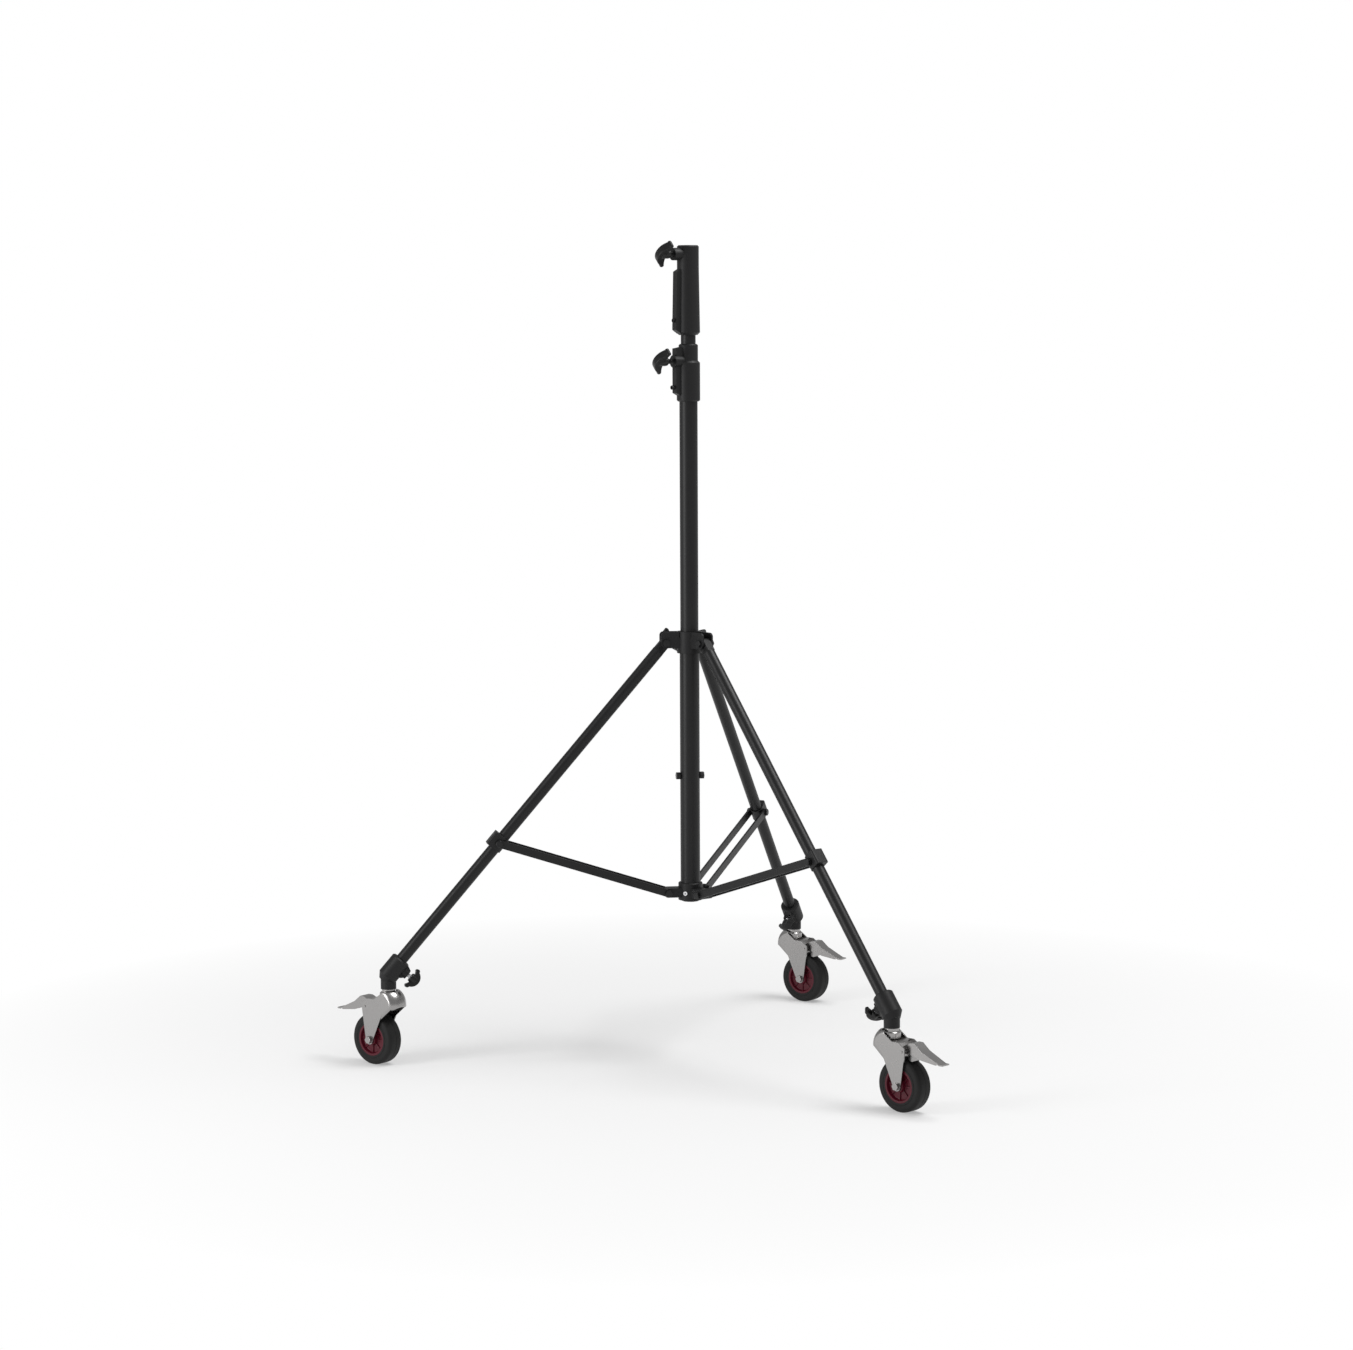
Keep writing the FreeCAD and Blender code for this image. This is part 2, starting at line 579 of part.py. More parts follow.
def leg_collar():
    """The ring that slides on the column, with three clevises and a clamp screw's boss."""
    azimuth = size("collar_knob_azimuth")
    collar = Piece("leg_collar", spoke(azimuth, 0, size("leg_pivot_height")))
    ring = collar.circle(collar.sketch("XY_Plane", "-collar_height / 2"), "collar_ring_radius")
    collar.pad(ring, "collar_height")
    turn = Rotation(Vector(0, 1, 0), LEG_AZIMUTHS["rear"] - azimuth)
    lug = collar.rounded_bar(collar.sketch("XZ_Plane", turn=turn), "0", "leg_pivot_radius",
                             "clevis_round")
    grown = collar.pad(lug, "2 * clevis_half_width", middle=True)
    gap = collar.outline(collar.sketch("XZ_Plane", turn=turn), (
        ("leg_pivot_radius - leg_eye_radius - 1", "-collar_height"),
        ("leg_pivot_radius + 2 * leg_eye_radius", "-collar_height"),
        ("leg_pivot_radius + 2 * leg_eye_radius", "collar_height"),
        ("leg_pivot_radius - leg_eye_radius - 1", "collar_height"),
    ))
    opened = collar.cut(gap, "2 * clevis_half_gap")
    hole = collar.circle(collar.sketch("XZ_Plane", turn=turn),
                         "pivot_bolt_diameter / 2 + seat_fit", "leg_pivot_radius")
    drilled = collar.cut(hole)
    collar.around([grown, opened, drilled], len(LEG_AZIMUTHS))
    boss = collar.circle(collar.sketch("YZ_Plane"), "boss_diameter / 2")
    collar.pad(boss, "collar_boss_reach")
    screw = collar.circle(collar.sketch("YZ_Plane"), "clamp_screw_diameter / 2 + sliding_fit")
    collar.cut(screw, "collar_boss_reach + 1", middle=False, back=True)
    bore = collar.circle(collar.sketch("XY_Plane"), "collar_bore_radius")
    collar.cut(bore)
    return collar


def leg(side, azimuth):
    """One leg: the tube, its cast head, the brace bracket, the foot socket and the stem."""
    tilt = -size("leg_angle")
    pivot = spoke(azimuth, size("leg_pivot_radius"), size("leg_pivot_height"), tilt)
    head = Piece(f"leg_head_{side}", pivot)
    profile = head.sketch("XZ_Plane")
    plug = "leg_diameter / 2 - leg_wall - seat_fit"
    head.outline(profile, (
        ("0", "-leg_neck - leg_plug_length"),
        (plug, "-leg_neck - leg_plug_length"),
        (plug, "-leg_neck"),
        ("leg_diameter / 2", "-leg_neck"),
        ("leg_diameter / 2", "-leg_neck + leg_wall"),
        ("leg_tongue / 2", "-leg_eye_radius"),
        ("0", "-leg_eye_radius"),
    ))
    head.spin(profile)
    eye = head.outline(head.sketch("XZ_Plane"), (
        ("-leg_eye_radius", "-leg_neck + leg_wall"),
        ("leg_eye_radius", "-leg_neck + leg_wall"),
        ("leg_eye_radius", "0", "0", "0", 1),
        ("-leg_eye_radius", "0"),
    ))
    head.pad(eye, "leg_tongue", middle=True)
    head.cut(head.circle(head.sketch("XZ_Plane"), "pivot_bolt_diameter / 2 + running_fit"))

    far = size("leg_tube_end")
    shank = tube(f"leg_tube_{side}", "leg_diameter / 2", "leg_diameter / 2 - leg_wall",
                 "leg_tube_end - leg_neck", pivot.multiply(Placement(Vector(0, 0, -far),
                                                                    Rotation())))

    joint = pivot.multiply(Placement(Vector(0, 0, -size("brace_joint_distance")), Rotation()))
    bracket = Piece(f"brace_bracket_{side}", joint)
    band = bracket.outline(bracket.sketch("XY_Plane", "-bracket_length / 2"), (
        ("0", "-bracket_half_width"),
        ("leg_diameter / 2 + bracket_outreach", "-bracket_half_width"),
        ("leg_diameter / 2 + bracket_outreach", "bracket_half_width"),
        ("0", "bracket_half_width", "0", "0", 1),
    ))
    bracket.pad(band, "bracket_length")
    bracket.cut(bracket.circle(bracket.sketch("XY_Plane"), "leg_diameter / 2 + seat_fit"))
    reach = size("leg_diameter") / 2 + size("bracket_outreach")
    bracket.dress("Fillet", "bracket_round", lambda edge: edge.BoundBox.XMin > reach - 1e-4
                  and edge.BoundBox.ZLength > 1)
    return [head, shank, bracket, foot_socket(side, azimuth), caster_stem(side, azimuth)]


def foot_socket(side, azimuth):
    """The casting that joins the leg's end to the upright caster stem."""
    foot = Piece(f"foot_socket_{side}", spoke(azimuth, size("foot_radius"), size("foot_height")))
    lean = Rotation(Vector(0, 0, 1), size("leg_angle"))
    sleeve = foot.outline(foot.sketch("XZ_Plane", turn=lean), (
        ("0", "-foot_dome"),
        ("foot_sleeve_radius - 0.6 * foot_dome", "-foot_dome"),
        ("foot_sleeve_radius", "-0.2 * foot_dome"),
        ("foot_sleeve_radius", "foot_sleeve_length - casting_round"),
        ("foot_sleeve_radius - casting_round", "foot_sleeve_length"),
        ("0", "foot_sleeve_length"),
    ))
    foot.spin(sleeve)
    rib = foot.outline(foot.sketch("XZ_Plane", turn=lean), (
        ("0", "foot_rib_foot"),
        ("-foot_sleeve_radius", "foot_rib_foot"),
        ("-foot_rib_reach", "foot_rib_foot + 2 * casting_round"),
        ("-foot_rib_reach", "foot_sleeve_length - 2 * casting_round"),
        ("-foot_sleeve_radius", "foot_sleeve_length - casting_round"),
        ("0", "foot_sleeve_length - casting_round"),
    ))
    foot.pad(rib, "foot_rib_width", middle=True)
    boss = foot.circle(foot.sketch("XY_Plane", "-socket_drop"), "foot_stem_radius")
    foot.pad(boss, "socket_drop")
    slant = Rotation(Vector(1, 0, 0), -size("leg_angle"))
    screw = foot.sketch("YZ_Plane", "0", slant)
    foot.circle(screw, "foot_boss_diameter / 2", "0", "foot_screw_rise")
    foot.pad(screw, "foot_boss_reach", back=True)
    hole = foot.circle(foot.sketch("YZ_Plane", "0", slant),
                       "foot_screw_diameter / 2 + sliding_fit", "0", "foot_screw_rise")
    foot.cut(hole, "foot_boss_reach + 1", middle=False)
    bore = foot.circle(foot.sketch("XY_Plane", "-socket_drop"), "stem_diameter / 2 + seat_fit")
    foot.cut(bore, "stem_length + seat_fit", middle=False, back=True)
    seat = foot.sketch("XZ_Plane", turn=lean)
    foot.outline(seat, (
        ("0", "foot_sleeve_length - leg_insertion"),
        ("leg_diameter / 2 + seat_fit", "foot_sleeve_length - leg_insertion"),
        ("leg_diameter / 2 + seat_fit", "foot_sleeve_length + 1"),
        ("0", "foot_sleeve_length + 1"),
    ))
    foot.spin(seat, "Groove")
    return foot


def caster_stem(side, azimuth):
    """The stem in the foot socket, with the upper race cup, the kingpin and its nut."""
    stem = Piece(f"caster_stem_{side}", spoke(azimuth, size("foot_radius"), size("crown_top")))
    profile = stem.sketch("XZ_Plane")
    cup_top = "race_height - race_neck_height"
    stem.outline(profile, (
        ("0", "-crown_sheet - side_gap - kingpin_nut_height"),
        ("kingpin_diameter / 2", "-crown_sheet - side_gap - kingpin_nut_height"),
        ("kingpin_diameter / 2", "side_gap"),
        ("race_radius - race_round", "side_gap"),
        ("race_radius", "side_gap + race_round"),
        ("race_radius", f"{cup_top} - race_round"),
        ("race_radius - race_round", cup_top),
        ("race_neck_radius", cup_top),
        ("race_neck_radius", "race_height"),
        ("stem_diameter / 2", "race_height"),
        ("stem_diameter / 2", "race_height + stem_length - 1"),
        ("stem_diameter / 2 - 1", "race_height + stem_length"),
        ("0", "race_height + stem_length"),
    ))
    stem.spin(profile)
    nut = stem.sketch("XY_Plane", "-crown_sheet - side_gap - kingpin_nut_height")
    stem.pad(hexagon(stem, nut, "kingpin_nut_width"), "kingpin_nut_height")
    return stem


def caster(side, azimuth, heading):
    """One caster below its stem: fork, axle, tyre, hub and brake pedal, X along its trail."""
    foot = spoke(azimuth, size("foot_radius")).Base
    swivel = Placement(foot, Rotation(Vector(0, 0, 1), heading))
    behind = Placement(Vector(size("caster_trail"), 0, size("wheel_radius")), Rotation())
    axle_place = swivel.multiply(behind)
    axle = Piece(f"axle_{side}", axle_place)
    bolt(axle, "2 * cheek_outer", "axle_diameter", "axle_nut_width", "axle_nut_height")
    return [
        fork(side, swivel),
        axle,
        tyre(side, axle_place),
        hub(side, axle_place),
        brake(side, swivel),
    ]


def fork(side, place):
    """The pressed fork: two cheeks down to the axle under a crown with a domed front hood."""
    made = Piece(f"caster_fork_{side}", place)
    cheeks = made.outline(made.sketch("XZ_Plane"), (
        ("-cheek_front", "cheek_front_height"),
        ("cheek_waist", "cheek_waist_height"),
        ("caster_trail - fork_foot_radius", "wheel_radius",
         "caster_trail", "wheel_radius", 1),
        ("caster_trail + fork_foot_radius", "wheel_radius"),
        ("cheek_rear", "brake_pivot_z - cheek_ear"),
        ("cheek_rear", "brake_pivot_z + cheek_ear"),
        ("crown_radius", "crown_top"),
        ("hood_back", "crown_top"),
        ("0", "hood_start + cheek_front", "0", "hood_start", 1),
        ("-cheek_front", "hood_start"),
    ))
    made.pad(cheeks, "2 * cheek_outer", middle=True)
    inside = made.outline(made.sketch("XZ_Plane"), (
        ("-cheek_front - 1", "0"),
        ("cheek_rear + 1", "0"),
        ("cheek_rear + 1", "hood_top + 1"),
        ("-cheek_front - 1", "hood_top + 1"),
    ))
    made.cut(inside, "2 * cheek_inner")
    made.spin(made.outline(made.sketch("XZ_Plane"), hood_profile()))
    trim_hood(made)
    made.cut(made.circle(made.sketch("XZ_Plane"), "axle_diameter / 2 + seat_fit",
                         "caster_trail", "wheel_radius"))
    pin = made.circle(made.sketch("XZ_Plane"), "brake_pin_diameter / 2",
                      "brake_pivot_back", "brake_pivot_z")
    made.pad(pin, "2 * cheek_outer + 2", middle=True)
    return made


def hood_profile():
    """Half the section of the crown plate and the dome that rises from it."""
    under = "crown_top - crown_sheet"
    depth = "(hood_shoulder - crown_sheet)"
    return (
        ("kingpin_diameter / 2 + running_fit", "crown_top"),
        ("kingpin_diameter / 2 + running_fit", under),
        (f"sqrt(hood_inner * hood_inner - {depth} * {depth})", under,
         "0", "hood_start", -1),
        ("hood_inner", "hood_start"),
        ("hood_inner", "hood_foot"),
        ("crown_radius", "hood_foot"),
        ("crown_radius", "hood_start", "0", "hood_start", 1),
        ("sqrt(crown_radius * crown_radius - hood_rise * hood_rise)", "hood_top"),
        ("sqrt(hood_inner * hood_inner - hood_rise * hood_rise)", "hood_top",
         "0", "hood_start", -1),
        ("sqrt(hood_inner * hood_inner - hood_shoulder * hood_shoulder)", "crown_top"),
    )


def trim_hood(made):
    """Cut the dome flush with the cheeks, down a slope at its back and up one at its front."""
    for sign in ("", "-"):
        side = made.outline(made.sketch("XY_Plane"), (
            ("-crown_radius - 1", f"{sign}cheek_outer"),
            ("crown_radius + 1", f"{sign}cheek_outer"),
            ("crown_radius + 1", f"{sign}(crown_radius + 1)"),
            ("-crown_radius - 1", f"{sign}(crown_radius + 1)"),
        ))
        made.cut(side)
    back = made.outline(made.sketch("XZ_Plane"), (
        ("0", "hood_start + cheek_front"),
        ("hood_back", "crown_top"),
        ("crown_radius + 1", "crown_top"),
        ("crown_radius + 1", "hood_top + 1"),
        ("0", "hood_top + 1"),
    ))
    made.cut(back, "2 * crown_radius")
    rear = made.outline(made.sketch("XZ_Plane"), (
        ("0", "0"),
        ("crown_radius + 1", "0"),
        ("crown_radius + 1", "crown_top - crown_sheet"),
        ("0", "crown_top - crown_sheet"),
    ))
    made.cut(rear, "2 * cheek_inner")
    rise = "cheek_slope * (crown_radius - cheek_front + 1)"
    front = made.outline(made.sketch("XZ_Plane"), (
        ("-crown_radius - 1", "0"),
        ("-cheek_front", "0"),
        ("-cheek_front", "cheek_front_height"),
        ("-crown_radius - 1", f"cheek_front_height + {rise}"),
    ))
    made.cut(front, "2 * crown_radius")
    side = size("cheek_outer")
    reach = size("crown_radius")
    front_edge = -0.5 * math.sqrt(reach * reach - side * side)
    made.dress("Fillet", "hood_round", lambda edge: edge.BoundBox.YLength < 1e-4
               and abs(abs(edge.BoundBox.YMin) - side) < 1e-4
               and edge.BoundBox.XMin < 2 * front_edge + 1e-3
               and edge.BoundBox.ZLength > 2)


def tyre(side, place):
    """A solid rubber tyre with rounded shoulders."""
    made = Piece(f"tyre_{side}", place.multiply(Placement(Vector(), Rotation(Vector(1, 0, 0), 90))))
    half = "tyre_width / 2"
    made.spin(made.outline(made.sketch("XZ_Plane"), (
        ("rim_diameter / 2 + seat_fit", f"-({half})"),
        ("wheel_radius - tyre_shoulder", f"-({half})",
         "wheel_radius - tyre_shoulder", f"tyre_shoulder - {half}", 1),
        ("wheel_radius", f"tyre_shoulder - {half}"),
        ("wheel_radius", f"{half} - tyre_shoulder",
         "wheel_radius - tyre_shoulder", f"{half} - tyre_shoulder", 1),
        ("wheel_radius - tyre_shoulder", half),
        ("rim_diameter / 2 + seat_fit", half),
    )))
    return made


def hub(side, place):
    """The moulded hub, dished on both sides, with a boss round the axle."""
    made = Piece(f"hub_{side}", place.multiply(Placement(Vector(), Rotation(Vector(1, 0, 0), 90))))
    rim = "rim_diameter / 2"
    boss = "hub_boss_diameter / 2"
    half = "tyre_width / 2"
    web = "tyre_width / 2 - hub_dish"
    made.spin(made.outline(made.sketch("XZ_Plane"), (
        ("axle_diameter / 2 + running_fit", "-hub_half_width"),
        (boss, "-hub_half_width"),
        (f"{boss} + 1", f"-({web})"),
        (f"{rim} - hub_wall - 2", f"-({web})"),
        (f"{rim} - hub_wall", f"-({half})"),
        (rim, f"-({half})"),
        (rim, half),
        (f"{rim} - hub_wall", half),
        (f"{rim} - hub_wall - 2", web),
        (f"{boss} + 1", web),
        (boss, "hub_half_width"),
        ("axle_diameter / 2 + running_fit", "hub_half_width"),
    )))
    return made


def pedal_line(drop, end):
    """The pedal's top line from its nose to its tip, lowered by a distance."""
    pin = "brake_pivot_back"
    level_of = "brake_pivot_z - " + drop
    line = [
        (f"{pin} - brake_nose", f"{level_of} + brake_nose_rise"),
        (f"{pin} + hump_start / 2", f"{level_of} + brake_hump - brake_sheet"),
        (f"{pin} + hump_start", f"{level_of} + brake_hump"),
        (f"{pin} + hump_start + hump_length", f"{level_of} + brake_hump"),
        (f"{pin} + brake_waist", f"{level_of} + brake_waist_rise"),
        (f"{pin} + brake_reach - brake_toe", f"{level_of} - brake_fall"),
    ]
    return line + [(end, f"{level_of} - brake_fall")]


def brake(side, place):
    """The tongue pedal: a humped, tapered sheet with side flanges and a shoe over the tyre."""
    made = Piece(f"brake_pedal_{side}", place)
    tip = "brake_pivot_back + brake_reach"
    low = "brake_pivot_z - brake_fall"
    top = pedal_line("0", tip)
    under = pedal_line("brake_sheet", tip)
    made.pad(made.outline(made.sketch("XZ_Plane"), under + top[::-1]), "brake_width",
             middle=True)
    flanges = made.outline(made.sketch("XZ_Plane"), [
        ("brake_pivot_back - brake_nose", "brake_pivot_z - brake_ear"),
        ("brake_pivot_back + hump_start", "brake_pivot_z - brake_ear"),
        ("brake_pivot_back + brake_waist", "brake_pivot_z + brake_waist_rise - brake_flange"),
        (f"{tip} - 2 * brake_toe", f"{low} - brake_sheet"),
        (f"{tip} - brake_toe", f"{low} - brake_sheet"),
    ] + top[-2::-1])
    made.pad(flanges, "brake_width", middle=True)
    hollow = made.outline(made.sketch("XZ_Plane"), [
        ("brake_pivot_back - brake_nose - 1", "0"),
        (f"{tip} + 1", "0"),
    ] + pedal_line("brake_sheet", f"{tip} + 1")[::-1] + [
        ("brake_pivot_back - brake_nose - 1", "brake_pivot_z - brake_sheet + brake_nose_rise"),
    ])
    made.cut(hollow, "brake_width - 2 * brake_sheet")
    shoe = made.outline(made.sketch("XZ_Plane"), (
        ("brake_pivot_back + shoe_back", "brake_pivot_z - shoe_drop"),
        ("brake_pivot_back + shoe_back + shoe_length", "brake_pivot_z - shoe_drop - shoe_slope"),
        ("brake_pivot_back + shoe_back + shoe_length",
         "brake_pivot_z + brake_hump - brake_sheet / 2"),
        ("brake_pivot_back + shoe_back", "brake_pivot_z + brake_hump - 1.2 * brake_sheet"),
    ))
    made.pad(shoe, "brake_width - brake_sheet", middle=True)
    for sign in ("", "-"):
        edge = "brake_width / 2"
        trim = made.outline(made.sketch("XY_Plane"), (
            ("brake_pivot_back + brake_nose", f"{sign}({edge})"),
            (tip, f"{sign}(brake_tip_width / 2)"),
            (f"{tip} + 5", f"{sign}(brake_tip_width / 2)"),
            (f"{tip} + 5", f"{sign}({edge} + 5)"),
            ("brake_pivot_back + brake_nose", f"{sign}({edge} + 5)"),
        ))
        made.cut(trim)
    made.cut(made.circle(made.sketch("XZ_Plane"), "brake_pin_diameter / 2 + running_fit",
                         "brake_pivot_back", "brake_pivot_z"))
    return made


def knob(label, kind, screw_radius, screw_length, place):
    """A T-knob moulded on its screw: X out along the screw from the hub's inner end."""
    made = Piece(label, place)
    inner = f"{kind}_hub_length"
    outer = f"{kind}_hub_length + {kind}_depth"
    tip = f"{kind}_span / 2 - knob_tip"
    inner_sag = "knob_droop - knob_tip / 2"
    inner_radius = f"(({tip}) * ({tip}) + ({inner_sag}) * ({inner_sag})) / (2 * ({inner_sag}))"
    outer_sag = f"{kind}_depth + {inner_sag} - 2 * knob_tip"
    outer_radius = f"(({tip}) * ({tip}) + ({outer_sag}) * ({outer_sag})) / (2 * ({outer_sag}))"
    low = f"{inner} - ({inner_sag})"
    high = f"{low} + 2 * knob_tip"
    wings = made.outline(made.sketch("XZ_Plane"), (
        (low, f"{tip}", f"{inner} - {inner_radius}", "0", -1),
        (low, f"-({tip})", f"{low} + knob_tip", f"-({tip})", 1),
        (high, f"-({tip})", f"{outer} - {outer_radius}", "0", 1),
        (high, f"{tip}", f"{low} + knob_tip", f"{tip}", 1),
    ))
    made.pad(wings, f"{kind}_thickness", middle=True)
    hub_ring = made.circle(made.sketch("YZ_Plane"), "knob_hub_diameter / 2")
    made.pad(hub_ring, f"{outer} - knob_tip")
    screw = made.circle(made.sketch("YZ_Plane"), screw_radius)
    made.pad(screw, screw_length, back=True)
    return made


def pad(label, place):
    """The pressure pad between a clamp screw and the tube it holds, X towards the knob."""
    made = Piece(label, place)
    made.pad(made.circle(made.sketch("YZ_Plane"), "clamp_screw_diameter / 2"), "pad_length")
    return made


def clamp_set(name, azimuth, height, start, reach, stand="knob_stand"):
    """A T-knob and its pressure pad: start and reach are radii of the pad and the boss."""
    hub = f"({reach}) + {stand}"
    seat = f"({hub}) - ({start}) - pad_length - screw_gap"
    outward = spoke(azimuth, value(hub), height, 0, -size("knob_roll"))
    return [
        knob(f"{name}_knob", "knob", "clamp_screw_diameter / 2", seat, outward),
        pad(f"{name}_pad", spoke(azimuth, value(start), height)),
    ]


def set_screw(label, azimuth, height, inner, outer):
    """A socket set screw, X outwards from the tube it bites on."""
    made = Piece(label, spoke(azimuth, value(inner), height))
    made.pad(made.circle(made.sketch("YZ_Plane"), "set_screw_diameter / 2"),
             f"({outer}) - ({inner})")
    socket = hexagon(made, made.sketch("YZ_Plane", f"({outer}) - ({inner})"),
                     "set_screw_diameter / 2")
    made.cut(socket, "set_screw_diameter / 2", middle=False)
    return made


def casting(label, place, profile, rib, screw_height):
    """A clamp casting: a turned body with a rib and a boss for the clamp screw."""
    made = Piece(label, place)
    made.spin(made.outline(made.sketch("XZ_Plane"), profile))
    made.pad(made.outline(made.sketch("XZ_Plane"), rib), "rib_width", middle=True)
    boss = made.circle(made.sketch("YZ_Plane"), "boss_diameter / 2", "0", screw_height)
    made.pad(boss, "boss_reach")
    return made


def drill_casting(made, screw_height, set_height):
    """Cut the clamp screw's and the set screw's holes from the bore outwards."""
    screw = made.circle(made.sketch("YZ_Plane"), "clamp_screw_diameter / 2 + sliding_fit",
                        "0", screw_height)
    made.cut(screw, "boss_reach + 1", middle=False, back=True)
    small = made.circle(made.sketch("YZ_Plane"), "set_screw_diameter / 2 + seat_fit",
                        "0", set_height)
    made.cut(small, "boss_reach + 1", middle=False, back=True)
    return made


def column_clamp():
    """The casting on top of the column that grips the riser."""
    azimuth = size("knob_azimuth")
    place = spoke(azimuth, 0, size("clamp_bottom"))
    made = casting("column_clamp", place, (
        ("0", "0"),
        ("clamp_radius - casting_round", "0"),
        ("clamp_radius", "casting_round"),
        ("clamp_radius", "clamp_step_height - clamp_radius + clamp_throat_radius"),
        ("clamp_throat_radius", "clamp_step_height"),
        ("clamp_throat_radius", "clamp_length - casting_round"),
        ("clamp_throat_radius - casting_round", "clamp_length"),
        ("0", "clamp_length"),
    ), (
        ("0", "clamp_rib_foot - casting_round"),
        ("clamp_radius", "clamp_rib_foot - casting_round"),
        ("rib_reach", "clamp_rib_foot + casting_round"),
        ("rib_reach", "clamp_length - clamp_rib_top - casting_round"),
        ("clamp_throat_radius", "clamp_length - clamp_rib_top"),
        ("0", "clamp_length - clamp_rib_top"),
    ), "clamp_screw_height")
    lower = made.circle(made.sketch("XY_Plane"), "column_radius + seat_fit")
    made.cut(lower, "clamp_seat + seat_fit", middle=False, back=True)
    upper = made.circle(made.sketch("XY_Plane"), "riser_radius + sliding_fit")
    made.cut(upper)
    drill_casting(made, "clamp_screw_height", "clamp_set_screw_height")
    grips = clamp_set("column_clamp", azimuth, size("clamp_screw_z"),
                      "riser_radius + pad_gap", "boss_reach", "clamp_knob_stand")
    screw = set_screw("column_clamp_set_screw", azimuth,
                      size("clamp_bottom") + size("clamp_set_screw_height"),
                      "column_radius + seat_fit", "rib_reach + set_screw_stand")
    return [made, screw] + grips


def receiver():
    """The casting on top of the riser, with the socket for a lamp's spigot."""
    azimuth = size("knob_azimuth")
    place = spoke(azimuth, 0, size("receiver_bottom"))
    screw_height = "receiver_length - receiver_screw_drop"
    rib_top = "receiver_length - receiver_rib_drop"
    made = casting("receiver", place, (
        ("0", "0"),
        ("receiver_foot_radius - 2 * casting_round", "0"),
        ("receiver_foot_radius", "2 * casting_round"),
        ("receiver_radius", f"{rib_top} + 2 * casting_round"),
        ("receiver_radius", "receiver_length - casting_round"),
        ("receiver_radius - casting_round", "receiver_length"),
        ("0", "receiver_length"),
    ), (
        ("0", "casting_round"),
        ("receiver_radius", "casting_round"),
        ("rib_reach", "4 * casting_round"),
        ("rib_reach - casting_round", f"{rib_top} - casting_round"),
        ("receiver_radius", f"{rib_top} + casting_round"),
        ("0", f"{rib_top} + casting_round"),
    ), screw_height)
    lower = made.circle(made.sketch("XY_Plane"), "riser_radius + seat_fit")
    made.cut(lower, "receiver_seat + seat_fit", middle=False, back=True)
    socket = made.circle(made.sketch("XY_Plane", "receiver_length"), "spigot_radius")
    made.cut(socket, "spigot_depth", middle=False)
    drill_casting(made, screw_height, "receiver_set_screw_height")
    grips = clamp_set("receiver", azimuth, size("receiver_screw_z"),
                      "spigot_radius + pad_gap", "boss_reach")
    screw = set_screw("receiver_set_screw", azimuth,
                      size("receiver_bottom") + size("receiver_set_screw_height"),
                      "riser_radius + seat_fit", "rib_reach + set_screw_stand / 2")
    return [made, screw] + grips


def riser():
    """The sliding tube and the bush that guides its lower end inside the column."""
    post = tube("riser_tube", "riser_radius", "riser_radius - riser_wall", "riser_length",
                spoke(0, 0, size("riser_bottom")))
    bush = Piece("riser_bush", spoke(0, 0, size("riser_bottom")))
    bush.spin(bush.outline(bush.sketch("XZ_Plane"), (
        ("riser_radius - riser_wall", "-riser_bush_lip"),
        ("column_bore_radius - sliding_fit", "-riser_bush_lip"),
        ("column_bore_radius - sliding_fit", "riser_bush_length"),
        ("riser_radius + seat_fit", "riser_bush_length"),
        ("riser_radius + seat_fit", "0"),
        ("riser_radius - riser_wall", "0"),
    )))
    return [post, bush]


def brace(side, azimuth):
    """One brace: a pair of flat bars either side of the leg, with the rivets at their ends."""
    place = spoke(azimuth, size("brace_pivot_radius"), size("brace_pivot_height"),
                  -size("brace_angle"))
    bars = Piece(f"brace_bars_{side}", place)
    rivets = Piece(f"brace_rivets_{side}", place)
    for sign in (1, -1):
        lift = "brace_inner_face" if sign > 0 else "-brace_inner_face - brace_thickness"
        bar = bars.rounded_bar(bars.sketch("XZ_Plane", lift), "0", "brace_length",
                               "brace_height / 2")
        bars.circle(bar, "pivot_bolt_diameter / 2 + running_fit")
        bars.circle(bar, "rivet_diameter / 2 + seat_fit", "brace_length")
        bars.pad(bar, "brace_thickness")
        shank = rivets.circle(rivets.sketch("XZ_Plane", lift), "rivet_diameter / 2",
                              "brace_length")
        rivets.pad(shank, "brace_thickness")
        face = "brace_inner_face + brace_thickness"
        head_lift = face if sign > 0 else f"-({face}) - rivet_head_height"
        head = rivets.circle(rivets.sketch("XZ_Plane", head_lift), "rivet_head_diameter / 2",
                             "brace_length")
        rivets.pad(head, "rivet_head_height")
    return [bars, rivets]


def foot_knob(side, azimuth):
    """The T-knob that clamps the leg's end in its foot socket, square to the leg."""
    foot = spoke(azimuth + 180, -size("foot_radius"), size("foot_height"), size("leg_angle"),
                 0)
    start = foot.multiply(Placement(Vector(0, 0, size("foot_screw_rise")), Rotation()))
    stand = Vector(value("foot_boss_reach + knob_stand"), 0, 0)
    place = start.multiply(Placement(stand, Rotation(Vector(1, 0, 0), FOOT_ROLLS[side])))
    reach = "foot_boss_reach + knob_stand - leg_diameter / 2 - seat_fit - screw_gap"
    return knob(f"foot_knob_{side}", "foot_knob", "foot_screw_diameter / 2", reach, place)


